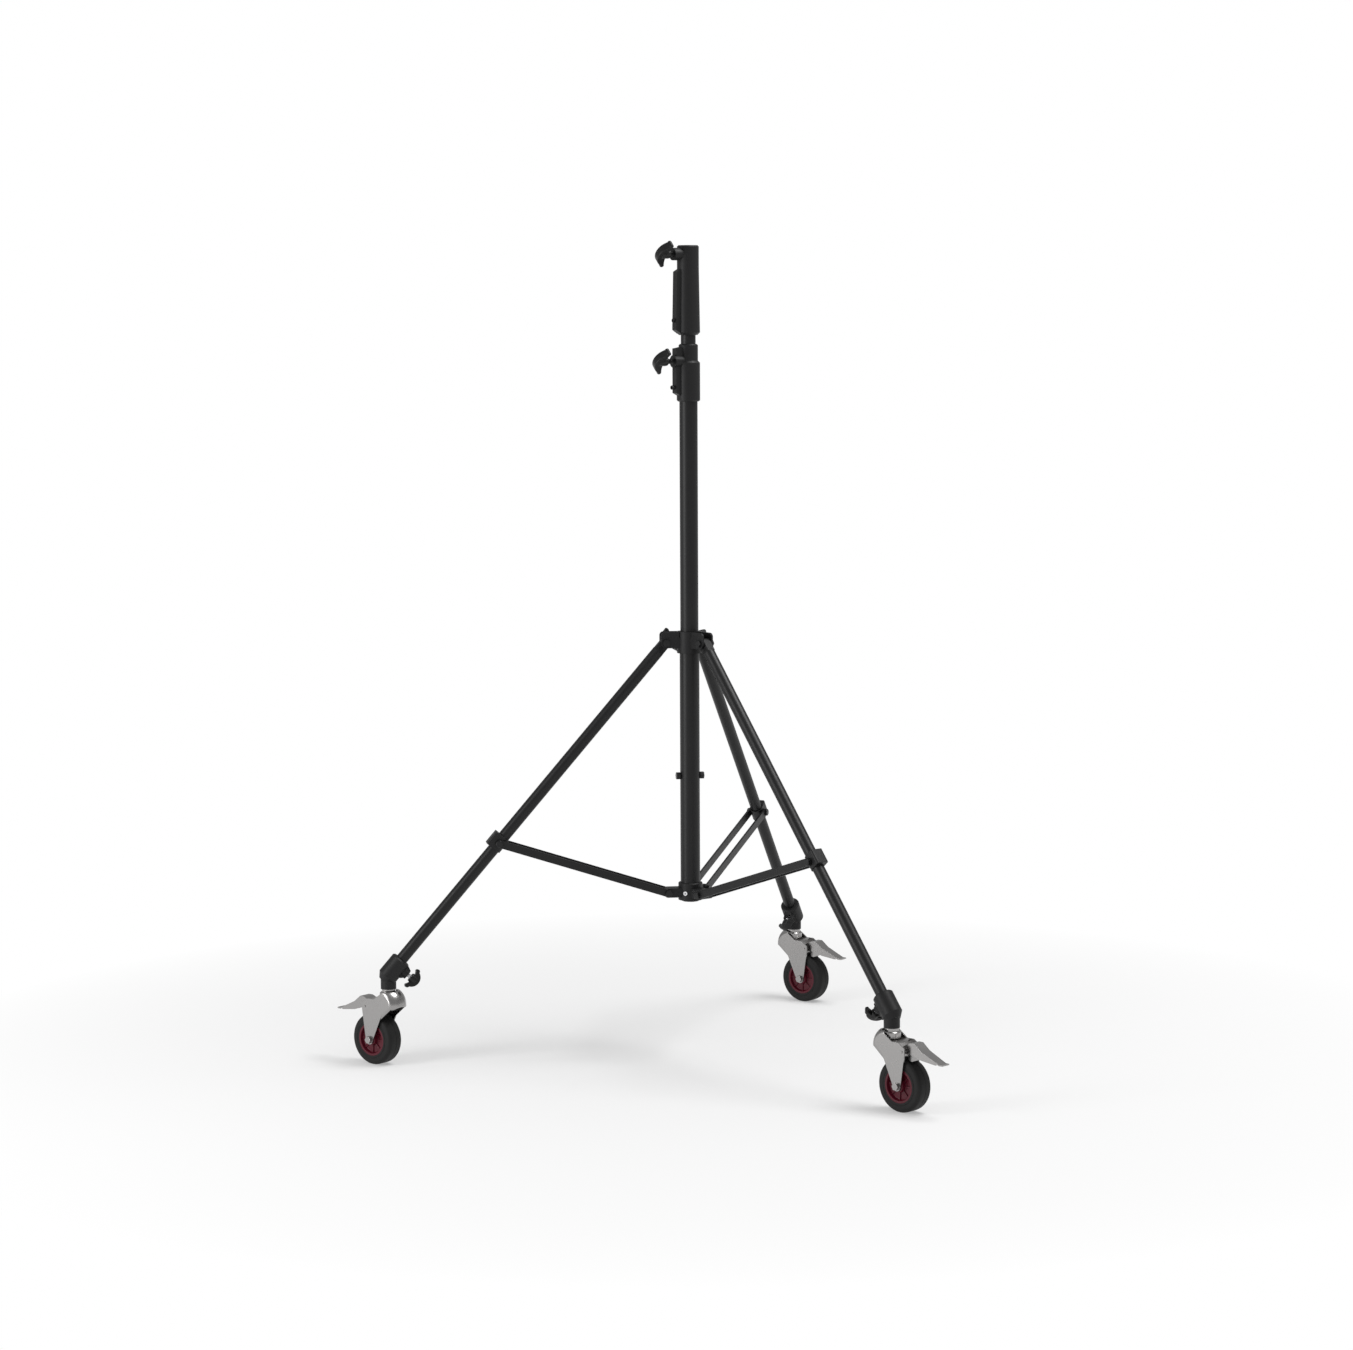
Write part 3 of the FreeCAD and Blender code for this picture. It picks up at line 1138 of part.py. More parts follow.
def build():
    """Every sub-part of the stand."""
    pieces = column() + column_clamp() + riser() + receiver()
    pieces.append(brace_collar())
    pieces.append(pivot_bolts("brace_pivot_bolts", "brace_pivot_radius",
                              size("brace_pivot_height"),
                              "2 * (brace_inner_face + brace_thickness + bracket_gap)"))
    pieces.append(set_screw("brace_collar_screw", LEG_AZIMUTHS["rear"] + 180,
                            size("brace_pivot_height"), "column_radius + seat_fit",
                            "brace_ring_radius + set_screw_stand / 2"))
    pieces.append(leg_collar())
    pieces.append(pivot_bolts("leg_pivot_bolts", "leg_pivot_radius", size("leg_pivot_height"),
                              "2 * clevis_half_width"))
    pieces += clamp_set("leg_collar", size("collar_knob_azimuth"), size("leg_pivot_height"),
                        "column_radius + pad_gap", "collar_boss_reach")
    for side, azimuth in LEG_AZIMUTHS.items():
        pieces += leg(side, azimuth)
        pieces += brace(side, azimuth)
        pieces += caster(side, azimuth, CASTER_HEADINGS[side])
        pieces.append(foot_knob(side, azimuth))
    return pieces


def write(pieces):
    """Check every object and each sub-part's solid, then write one file for each sub-part."""
    document.recompute()
    for item in document.Objects:
        if "Invalid" in item.State or "Error" in item.State:
            raise ValueError(f"{item.Label} failed: {item.State}")
    os.makedirs("parts", exist_ok=True)
    for piece in pieces:
        shape = piece.body.Shape
        if shape.isNull() or not shape.isValid() or not shape.Solids:
            raise ValueError(f"{piece.body.Label} has no valid solid")
        shape.exportStep(f"parts/{piece.body.Label}.step")
    print(len(pieces), "sub-parts written")


fill_sheet()
write(build())
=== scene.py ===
"""Looks of a rolling light stand: finishes, detailed pieces, studio and camera, in metres."""

from __future__ import annotations

import json
import logging
import math
from collections.abc import Sequence
from dataclasses import dataclass, field
from enum import Enum

import bmesh
import bpy
from mathutils import Matrix, Vector

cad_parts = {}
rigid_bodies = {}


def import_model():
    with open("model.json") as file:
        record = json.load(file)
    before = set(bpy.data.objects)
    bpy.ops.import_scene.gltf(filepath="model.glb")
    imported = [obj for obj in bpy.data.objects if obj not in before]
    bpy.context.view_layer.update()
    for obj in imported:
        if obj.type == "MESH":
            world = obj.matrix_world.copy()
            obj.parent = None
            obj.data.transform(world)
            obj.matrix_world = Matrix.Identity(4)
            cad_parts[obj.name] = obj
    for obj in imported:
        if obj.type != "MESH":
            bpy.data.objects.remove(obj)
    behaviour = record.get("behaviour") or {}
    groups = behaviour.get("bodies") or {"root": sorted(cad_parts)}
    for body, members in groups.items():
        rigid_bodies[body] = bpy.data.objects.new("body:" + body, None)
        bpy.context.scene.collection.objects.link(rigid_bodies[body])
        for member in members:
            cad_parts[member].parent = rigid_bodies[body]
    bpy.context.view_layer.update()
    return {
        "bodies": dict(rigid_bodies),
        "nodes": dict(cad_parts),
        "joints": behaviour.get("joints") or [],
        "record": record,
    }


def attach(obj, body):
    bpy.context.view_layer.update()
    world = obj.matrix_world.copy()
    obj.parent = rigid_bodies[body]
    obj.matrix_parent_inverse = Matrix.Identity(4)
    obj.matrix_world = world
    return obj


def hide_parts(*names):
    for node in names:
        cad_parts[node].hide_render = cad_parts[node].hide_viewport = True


log = logging.getLogger("roller_stand")

Colour = tuple[float, float, float]
Point = tuple[float, float, float]
Profile = Sequence[tuple[float, float]]

SIDES = ("left", "right", "rear")
SHARP = math.radians(32)
SQUARE = math.radians(60)
FLAT = math.radians(0.6)
SAME_PLACE = 1e-6
SAME_NODE_PLACE = 2e-6


class Slot(Enum):
    """Material slots of the record."""

    TUBE = "black_tube"
    CASTING = "black_casting"
    PLASTIC = "black_plastic"
    HARDWARE = "black_hardware"
    SCREW = "bright_screw"
    ZINC = "bright_zinc"
    KNOB = "knob_plastic"
    NYLON = "nylon"
    RUBBER = "wheel_rubber"
    HUB = "wheel_hub"


Materials = dict[Slot, bpy.types.Material]


class Value:
    """A shader socket that Python's operators work on."""

    def __init__(self, shader: Shader, socket: bpy.types.NodeSocket | float) -> None:
        """Keep the shader that the socket belongs to."""
        self.shader = shader
        self.socket = socket

    def _math(self, operation: str, *others: Value | float, first: float | None = None) -> Value:
        """Add one Math node.

        Args:
            operation: The Math node's operation.
            others: Its further operands.
            first: A number that comes before this value.

        Returns:
            The result as a value.
        """
        operands = [] if first is None else [first]
        operands.append(self)
        operands.extend(others)
        node = self.shader.node("ShaderNodeMath", {"operation": operation},
                                dict(enumerate(operands)))
        return Value(self.shader, node.outputs[0])

    def __add__(self, other: Value | float) -> Value:
        """This value plus another."""
        return self._math("ADD", other)

    def __mul__(self, other: Value | float) -> Value:
        """This value times another."""
        return self._math("MULTIPLY", other)

    def __rsub__(self, other: float) -> Value:
        """A number less this value."""
        return self._math("SUBTRACT", first=other)

    def __pow__(self, power: float) -> Value:
        """This value to a power."""
        return self._math("POWER", power)


class Shader:
    """A node material under construction."""

    def __init__(self, name: str) -> None:
        """Make an empty material with a Principled shader."""
        self.material = bpy.data.materials.new(name)
        self.material.use_nodes = True
        self.tree = self.material.node_tree
        self.tree.nodes.clear()
        self.surface = self.tree.nodes.new("ShaderNodeBsdfPrincipled")
        self.output = self.tree.nodes.new("ShaderNodeOutputMaterial")
        self.tree.links.new(self.surface.outputs[0], self.output.inputs["Surface"])
        self.place = self.node("ShaderNodeTexCoord").outputs["Object"]

    def node(self, kind: str, settings: dict | None = None, inputs: dict | None = None
             ) -> bpy.types.Node:
        """Add any node.

        Args:
            kind: The node's type.
            settings: Its properties, set first.
            inputs: Values, links or shader values for its sockets, by name or number.

        Returns:
            The new node.
        """
        made = self.tree.nodes.new(kind)
        for key, setting in (settings or {}).items():
            setattr(made, key, setting)
        for key, given in (inputs or {}).items():
            given = given.socket if isinstance(given, Value) else given
            if isinstance(given, bpy.types.NodeSocket):
                self.tree.links.new(given, made.inputs[key])
            else:
                made.inputs[key].default_value = given
        return made

    def noise(self, scale: float, detail: float, stretch: Point = (1.0, 1.0, 1.0)) -> Value:
        """Noise over the object.

        Args:
            scale: Features per metre.
            detail: Octaves.
            stretch: Scale along each axis.

        Returns:
            The noise, about 0 to 1.
        """
        mapping = self.node("ShaderNodeMapping", None, {"Vector": self.place, "Scale": stretch})
        made = self.node("ShaderNodeTexNoise", None,
                         {"Vector": mapping.outputs[0], "Scale": scale, "Detail": detail})
        return Value(self, made.outputs[0])

    def mix(self, factor: Value | float, first: object, second: object) -> bpy.types.NodeSocket:
        """Two colours mixed by a factor."""
        made = self.node("ShaderNodeMix", {"data_type": "RGBA"}, {0: factor, 6: first, 7: second})
        return made.outputs[2]

    def bump(self, height: Value, distance: float, strength: float) -> None:
        """Raise the surface's normal by a height in this distance."""
        made = self.node("ShaderNodeBump", None,
                         {"Height": height, "Distance": distance, "Strength": strength})
        self.tree.links.new(made.outputs[0], self.surface.inputs["Normal"])

    def set(self, **sockets: object) -> None:
        """Set or link sockets of the Principled shader by name, with _ for a space."""
        for name, given in sockets.items():
            socket = self.surface.inputs[name.replace("_", " ")]
            given = given.socket if isinstance(given, Value) else given
            if isinstance(given, bpy.types.NodeSocket):
                self.tree.links.new(given, socket)
            else:
                socket.default_value = given


def rgba(colour: Colour) -> tuple[float, float, float, float]:
    """The colour with a full alpha."""
    return (*colour, 1.0)


@dataclass(frozen=True)
class PowderCoat:
    """Black powder coat on steel or on a casting.

    Attributes:
        name: Name of the material.
        colour: Colour of the coat.
        roughness: Middle of its roughness.
        grain: Grains per metre of its fine skin.
        depth: Height of that skin in metres.
        dusty: Colour of the dust.
        dust: Most that the dust covers.
        uneven: How far its roughness varies.
        gloss: Level of its mirror-like part.
    """

    name: str
    colour: Colour = (0.007, 0.007, 0.0075)
    roughness: float = 0.42
    grain: float = 900.0
    depth: float = 0.00012
    dusty: Colour = (0.03, 0.029, 0.028)
    dust: float = 0.25
    uneven: float = 0.12
    gloss: float = 0.3

    def build(self) -> bpy.types.Material:
        """Make the material: fine orange peel, uneven sheen and a little dust."""
        shader = Shader(self.name)
        dust = shader.noise(scale=14.0, detail=5.0) ** 3.0
        rub = shader.noise(scale=160.0, detail=2.0, stretch=(1.0, 1.0, 0.05))
        base = shader.mix(dust * self.dust, rgba(self.colour), rgba(self.dusty))
        shader.set(Base_Color=base,
                   Roughness=rub * self.uneven + (self.roughness - self.uneven / 2),
                   Specular_IOR_Level=self.gloss)
        shader.bump(shader.noise(self.grain, detail=2.0), self.depth, strength=0.35)
        return shader.material


@dataclass(frozen=True)
class BrightPlate:
    """Bright plating on pressed or turned steel.

    Attributes:
        name: Name of the material.
        colour: Colour of the plating.
        roughness: Middle of its roughness.
        clouding: How far the clouds vary its roughness.
        drawing: How far the draw marks vary it.
    """

    name: str
    colour: Colour = (0.37, 0.362, 0.357)
    roughness: float = 0.26
    clouding: float = 0.12
    drawing: float = 0.06

    def build(self) -> bpy.types.Material:
        """Make the material: clouded plating with fine draw marks."""
        shader = Shader(self.name)
        cloud = shader.noise(scale=40.0, detail=4.0)
        marks = shader.noise(scale=700.0, detail=2.0, stretch=(1.0, 1.0, 0.12))
        darker = tuple(channel * 0.8 for channel in self.colour)
        base = shader.mix(cloud * 0.5, rgba(self.colour), rgba(darker))
        least = self.roughness - (self.clouding + self.drawing) / 2
        shader.set(Base_Color=base, Metallic=1.0,
                   Roughness=cloud * self.clouding + marks * self.drawing + least)
        shader.bump(marks, distance=0.00006, strength=0.25)
        return shader.material


@dataclass(frozen=True)
class Moulded:
    """Moulded plastic, rubber or nylon.

    Attributes:
        name: Name of the material.
        colour: Its colour.
        worn: Its colour where it is dusty or rubbed.
        roughness: Middle of its roughness.
        grain: Grains per metre of its texture.
        depth: Height of that texture in metres.
        gloss: Level of its mirror-like part.
    """

    name: str
    colour: Colour
    worn: Colour
    roughness: float = 0.5
    grain: float = 1400.0
    depth: float = 0.0001
    gloss: float = 0.3

    def build(self) -> bpy.types.Material:
        """Make the material: a fine moulded grain and uneven colour."""
        shader = Shader(self.name)
        patches = shader.noise(scale=30.0, detail=5.0) ** 2.0
        base = shader.mix(patches, rgba(self.colour), rgba(self.worn))
        shader.set(Base_Color=base, Roughness=patches * 0.2 + (self.roughness - 0.06),
                   Specular_IOR_Level=self.gloss)
        shader.bump(shader.noise(self.grain, detail=2.0), self.depth, strength=0.4)
        return shader.material


FINISHES = {
    Slot.TUBE: PowderCoat("coated_tube"),
    Slot.CASTING: PowderCoat("coated_casting", roughness=0.5, grain=600.0, depth=0.0003),
    Slot.PLASTIC: Moulded("plug_plastic", (0.014, 0.014, 0.014), (0.03, 0.03, 0.03)),
    Slot.HARDWARE: PowderCoat("black_hardware", roughness=0.35, grain=1200.0),
    Slot.SCREW: BrightPlate("bright_screw", (0.8, 0.8, 0.81), 0.2),
    Slot.ZINC: BrightPlate("bright_zinc"),
    Slot.KNOB: Moulded("knob_plastic", (0.005, 0.005, 0.005), (0.012, 0.012, 0.012), 0.38),
    Slot.NYLON: Moulded("nylon", (0.7, 0.68, 0.62), (0.6, 0.58, 0.52), 0.45),
    Slot.RUBBER: Moulded("wheel_rubber", (0.008, 0.008, 0.008), (0.02, 0.0195, 0.019), 0.62, 900.0,
                         0.0002, 0.25),
    Slot.HUB: Moulded("hub_plastic", (0.095, 0.006, 0.016), (0.07, 0.006, 0.013), 0.35),
}


@dataclass(frozen=True)
class Lamp:
    """A soft light that faces the stand.

    Attributes:
        name: Its name.
        place: Where it hangs.
        size: Its width and height.
        power: Its power in watts.
        aim: The point that it faces.
    """

    name: str
    place: Point
    size: tuple[float, float]
    power: float
    aim: Point = (0.0, 0.0, 0.7)

    def build(self) -> None:
        """Hang the light."""
        data = bpy.data.lights.new(self.name, "AREA")
        data.shape = "RECTANGLE"
        data.size, data.size_y = self.size
        data.energy = self.power
        lamp = bpy.data.objects.new(self.name, data)
        bpy.context.scene.collection.objects.link(lamp)
        away = Vector(self.place) - Vector(self.aim)
        turned_away = away.to_track_quat("Z", "Y").to_matrix().to_4x4()
        lamp.matrix_world = Matrix.Translation(self.place) @ turned_away


@dataclass
class Studio:
    """The pale floor, the soft light and the camera.

    Attributes:
        heading: Camera's turn about Z from looking along +Y, in degrees.
        distance: Camera's distance from the column's axis.
        height: Camera's height.
        yaw: Its further turn about Z, in radians.
        pitch: How far it looks down, in radians.
        roll: Its turn about its own axis, in radians.
        focal: Focal length over the frame's width.
        sensor: Width of its sensor in millimetres.
        reach: How far it sees.
        floor_radius: Radius of the floor.
        floor_grey: Grey of the floor.
        fade: How fast the floor goes over into white, per metre.
        fade_power: Curve of that change.
        ambient: Strength of the light from all round.
        lamps: The soft lights.
    """

    heading: float = 21.76
    distance: float = 6.5
    height: float = 1.425
    yaw: float = 0.0039
    pitch: float = 0.1036
    roll: float = 0.0045
    focal: float = 3369.5 / 1353
    sensor: float = 36.0
    reach: float = 100.0
    floor_radius: float = 14.0
    floor_grey: float = 0.86
    fade: float = 0.62
    fade_power: float = 0.9
    ambient: float = 0.42
    lamps: tuple[Lamp, ...] = (
        Lamp("overhead", (1.6, 0.3, 3.8), (1.8, 1.8), 98.0),
        Lamp("strip", (-1.9, -2.3, 1.1), (0.9, 2.4), 40.0))

    def camera(self) -> None:
        """Place the camera at the photograph's viewing angle."""
        data = bpy.data.cameras.new("camera")
        data.sensor_fit = "HORIZONTAL"
        data.sensor_width = self.sensor
        data.lens = self.focal * self.sensor
        data.clip_end = self.reach
        camera = bpy.data.objects.new("camera", data)
        bpy.context.scene.collection.objects.link(camera)
        around = math.radians(self.heading)
        place = Vector((self.distance * math.sin(around), -self.distance * math.cos(around),
                        self.height))
        turned = (Matrix.Rotation(around + self.yaw, 4, "Z")
                  @ Matrix.Rotation(math.pi / 2 - self.pitch, 4, "X")
                  @ Matrix.Rotation(-self.roll, 4, "Z"))
        camera.matrix_world = Matrix.Translation(place) @ turned
        bpy.context.scene.camera = camera

    def floor(self) -> None:
        """Lay the pale floor, which goes over into the white background."""
        mesh = bpy.data.meshes.new("floor")
        shape = bmesh.new()
        bmesh.ops.create_circle(shape, cap_ends=True, segments=96,
                                radius=self.floor_radius)
        shape.to_mesh(mesh)
        shape.free()
        floor = bpy.data.objects.new("floor", mesh)
        bpy.context.scene.collection.objects.link(floor)
        shader = Shader("pale_floor")
        shader.set(Base_Color=rgba((self.floor_grey,) * 3), Roughness=0.9,
                   Specular_IOR_Level=0.1)
        glow = shader.node("ShaderNodeEmission", None, {0: rgba((1.0, 1.0, 1.0)), 1: 1.0})
        spread = shader.node("ShaderNodeMapping", None,
                             {"Vector": shader.place, "Scale": (self.fade,) * 3})
        gradient = shader.node("ShaderNodeTexGradient", {"gradient_type": "SPHERICAL"},
                               {0: spread.outputs[0]})
        near = Value(shader, gradient.outputs[0])
        rays = shader.node("ShaderNodeLightPath")
        seen = Value(shader, rays.outputs["Is Camera Ray"])
        seen = seen + Value(shader, rays.outputs["Is Glossy Ray"])
        far = (1.0 - near ** self.fade_power) * seen
        mixed = shader.node("ShaderNodeMixShader", None,
                            {0: far, 1: shader.surface.outputs[0], 2: glow.outputs[0]})
        shader.tree.links.new(mixed.outputs[0], shader.output.inputs["Surface"])
        mesh.materials.append(shader.material)

    def world(self) -> None:
        """Fill the background with white and light the object softly from all round."""
        world = bpy.data.worlds.new("studio")
        bpy.context.scene.world = world
        world.use_nodes = True
        tree = world.node_tree
        tree.nodes.clear()
        rays = tree.nodes.new("ShaderNodeLightPath")
        strength = tree.nodes.new("ShaderNodeMath")
        strength.operation = "MAXIMUM"
        tree.links.new(rays.outputs["Is Camera Ray"], strength.inputs[0])
        strength.inputs[1].default_value = self.ambient
        background = tree.nodes.new("ShaderNodeBackground")
        background.inputs[0].default_value = rgba((1.0, 1.0, 1.0))
        tree.links.new(strength.outputs[0], background.inputs[1])
        output = tree.nodes.new("ShaderNodeOutputWorld")
        tree.links.new(background.outputs[0], output.inputs[0])

    def build(self) -> None:
        """Set up the floor, the lights and the camera."""
        self.floor()
        self.world()
        for lamp in self.lamps:
            lamp.build()
        self.camera()
        bpy.context.scene.view_settings.view_transform = "Standard"


def bevelled(shape: bmesh.types.BMesh, edges: Sequence[bmesh.types.BMEdge], radius: float,
             segments: int) -> None:
    """Round edges of a mesh.

    Args:
        shape: The mesh.
        edges: Its edges to round.
        radius: Radius of the rounding in metres.
        segments: Faces across it.
    """
    bmesh.ops.bevel(shape, geom=list(edges), offset=radius, offset_type="OFFSET",
                    segments=segments, profile=0.5, affect="EDGES", clamp_overlap=True,
                    material=-1)


def hard_edges(shape: bmesh.types.BMesh, angle: float = SHARP) -> list[bmesh.types.BMEdge]:
    """Outward edges of a mesh that turn by more than an angle."""
    return [edge for edge in shape.edges
            if edge.is_manifold and edge.is_convex and edge.calc_face_angle() > angle]


def finished(shape: bmesh.types.BMesh, name: str, material: bpy.types.Material,
             body: str, replaces: Sequence[str] = ()) -> bpy.types.Object:
    """Turn a mesh into a piece that rides on a body.

    Args:
        shape: The mesh, in place; it is freed.
        name: Name of the piece.
        material: Its material.
        body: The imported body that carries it.
        replaces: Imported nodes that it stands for.

    Returns:
        The piece.
    """
    for face in shape.faces:
        face.smooth = True
    for edge in shape.edges:
        edge.smooth = not (edge.is_manifold and edge.calc_face_angle() > SHARP)
    mesh = bpy.data.meshes.new(name)
    shape.to_mesh(mesh)
    shape.free()
    mesh.materials.append(material)
    piece = bpy.data.objects.new(name, mesh)
    bpy.context.scene.collection.objects.link(piece)
    weighted = piece.modifiers.new("even_normals", "WEIGHTED_NORMAL")
    weighted.keep_sharp = True
    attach(piece, body)
    for node in replaces:
        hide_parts(node)
    log.info("%s on %s: %d faces", name, body, len(mesh.polygons))
    return piece


def turned(shape: bmesh.types.BMesh, profile: Profile, steps: int = 96) -> None:
    """Spin a closed profile of (radius, height) points round Z into a mesh.

    Args:
        shape: The mesh to add to.
        profile: The profile's corners, in order.
        steps: Faces round the axis.
    """
    ring = [shape.verts.new((radius, 0.0, height)) for radius, height in profile]
    loop = [shape.edges.new((ring[at - 1], ring[at])) for at in range(len(ring))]
    bmesh.ops.spin(shape, geom=ring + loop, cent=(0.0, 0.0, 0.0), axis=(0.0, 0.0, 1.0),
                   angle=2 * math.pi, steps=steps, use_merge=True, use_duplicate=False)
    bmesh.ops.remove_doubles(shape, verts=shape.verts[:], dist=SAME_PLACE)
    bmesh.ops.recalc_face_normals(shape, faces=shape.faces[:])


def rounded_profile(corners: Sequence[tuple[float, float, float]], steps: int = 4
                    ) -> list[tuple[float, float]]:
    """A closed profile whose corners are rounded.

    Args:
        corners: Radius, height and rounding of each corner.
        steps: Faces across each rounding.

    Returns:
        The profile's points.
    """
    points = []
    for at, (radius, height, rounding) in enumerate(corners):
        here = Vector((radius, height))
        if rounding <= 0:
            points.append((radius, height))
            continue
        before = (Vector(corners[at - 1][:2]) - here).normalized()
        after = (Vector(corners[(at + 1) % len(corners)][:2]) - here).normalized()
        half = before.angle(after) / 2
        reach = rounding / math.tan(half)
        centre = here + (before + after).normalized() * (rounding / math.sin(half))
        start = here + before * reach - centre
        sweep = start.angle_signed(here + after * reach - centre)
        for step in range(steps + 1):
            turn = -sweep * step / steps
            spoke = Vector((start.x * math.cos(turn) - start.y * math.sin(turn),
                            start.x * math.sin(turn) + start.y * math.cos(turn)))
            points.append(tuple(centre + spoke))
    return points


def facing(place: Vector, along: Vector, across: Vector | None = None) -> Matrix:
    """A frame whose Z runs along a direction.

    Args:
        place: Its origin.
        along: Direction of its Z.
        across: Direction that its X is nearest to.

    Returns:
        The frame's matrix.
    """
    up = along.normalized()
    side = across if across is not None else up.orthogonal()
    side = (side - up * side.dot(up)).normalized()
    turned_axes = Matrix((side, up.cross(side), up)).transposed()
    return Matrix.Translation(place) @ turned_axes.to_4x4()


@dataclass
class Softened:
    """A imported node's own form with its hard edges rounded, as it is cast, pressed or turned.

    Attributes:
        node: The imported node.
        slot: Its slot.
        radius: Rounding of its edges in metres.
        segments: Faces across the rounding.
        turn: Its turn about the column's axis, in degrees.
    """

    node: str
    slot: Slot
    radius: float = 0.001
    segments: int = 2
    turn: float = 0.0

    def shape(self, frame: dict) -> bmesh.types.BMesh:
        """Copy the node's mesh, merge it and round its hard edges."""
        shape = bmesh.new()
        shape.from_mesh(frame["nodes"][self.node].data)
        bmesh.ops.remove_doubles(shape, verts=shape.verts[:], dist=SAME_NODE_PLACE)
        bmesh.ops.dissolve_limit(shape, angle_limit=FLAT, verts=shape.verts[:],
                                 edges=shape.edges[:], use_dissolve_boundaries=False)
        bevelled(shape, hard_edges(shape), self.radius, self.segments)
        shape.transform(Matrix.Rotation(math.radians(self.turn), 4, "Z"))
        return shape

    def build(self, frame: dict, materials: Materials) -> bpy.types.Object:
        """Make the piece and hide the node.

        Args:
            materials: Materials by slot.

        Returns:
            The piece.
        """
        return finished(self.shape(frame), f"{self.node}_form", materials[self.slot],
                        body_of(frame, self.node), (self.node,))


def body_of(frame: dict, node: str) -> str:
    """Name of the body that carries a node."""
    bodies = frame["record"]["behaviour"]["bodies"]
    return next(body for body, members in bodies.items() if node in members)


def joint_of(frame: dict, name: str) -> tuple[Vector, Vector]:
    """Place and axis of a joint at rest."""
    joint = next(entry for entry in frame["joints"] if entry["name"] == name)
    return Vector(joint["pos_m"]), Vector(joint["axis"]).normalized()


@dataclass
class Thread:
    """A screw thread, right-handed, about Z.

    Attributes:
        radius: Outer radius.
        pitch: Distance from crest to crest.
        length: Length of the thread.
        depth: Depth of its grooves.
        steps: Faces round one turn.
    """

    radius: float
    pitch: float
    length: float
    depth: float = 0.0006
    steps: int = 20

    def add(self, shape: bmesh.types.BMesh, place: Matrix) -> None:
        """Wind the thread's section upwards and close it over a core.

        Args:
            shape: The mesh to add to.
            place: Frame of the thread, with Z along it.
        """
        turns = max(1, int(self.length / self.pitch) - 1)
        section = [(self.radius - self.depth, 0.0), (self.radius, self.pitch * 0.38),
                   (self.radius, self.pitch * 0.62), (self.radius - self.depth, self.pitch)]
        made = bmesh.new()
        ring = [made.verts.new((radius, 0.0, height)) for radius, height in section]
        loop = [made.edges.new(pair) for pair in zip(ring, ring[1:])]
        count = self.steps * turns
        bmesh.ops.spin(made, geom=ring + loop, cent=(0.0, 0.0, 0.0), axis=(0.0, 0.0, 1.0),
                       dvec=(0.0, 0.0, self.pitch / self.steps), angle=2 * math.pi * turns,
                       steps=count, use_merge=False, use_duplicate=False)
        bmesh.ops.remove_doubles(made, verts=made.verts[:], dist=SAME_PLACE)
        bmesh.ops.recalc_face_normals(made, faces=made.faces[:])
        outward = sum(face.normal.dot(Vector((*face.calc_center_median().xy, 0.0)))
                      for face in made.faces)
        if outward < 0:
            bmesh.ops.reverse_faces(made, faces=made.faces[:])
        core = self.radius - self.depth * 1.02
        turned(made, rounded_profile(((0.0, 0.0, 0.0), (core, 0.0, 0.0), (core, self.length, 0.0),
                                      (0.0, self.length, 0.0)), 2), 24)
        made.transform(place)
        joined(shape, made)


def joined(shape: bmesh.types.BMesh, other: bmesh.types.BMesh) -> None:
    """Add a second mesh to the first and free it."""
    carrier = bpy.data.meshes.new("carrier")
    other.to_mesh(carrier)
    other.free()
    shape.from_mesh(carrier)
    bpy.data.meshes.remove(carrier)


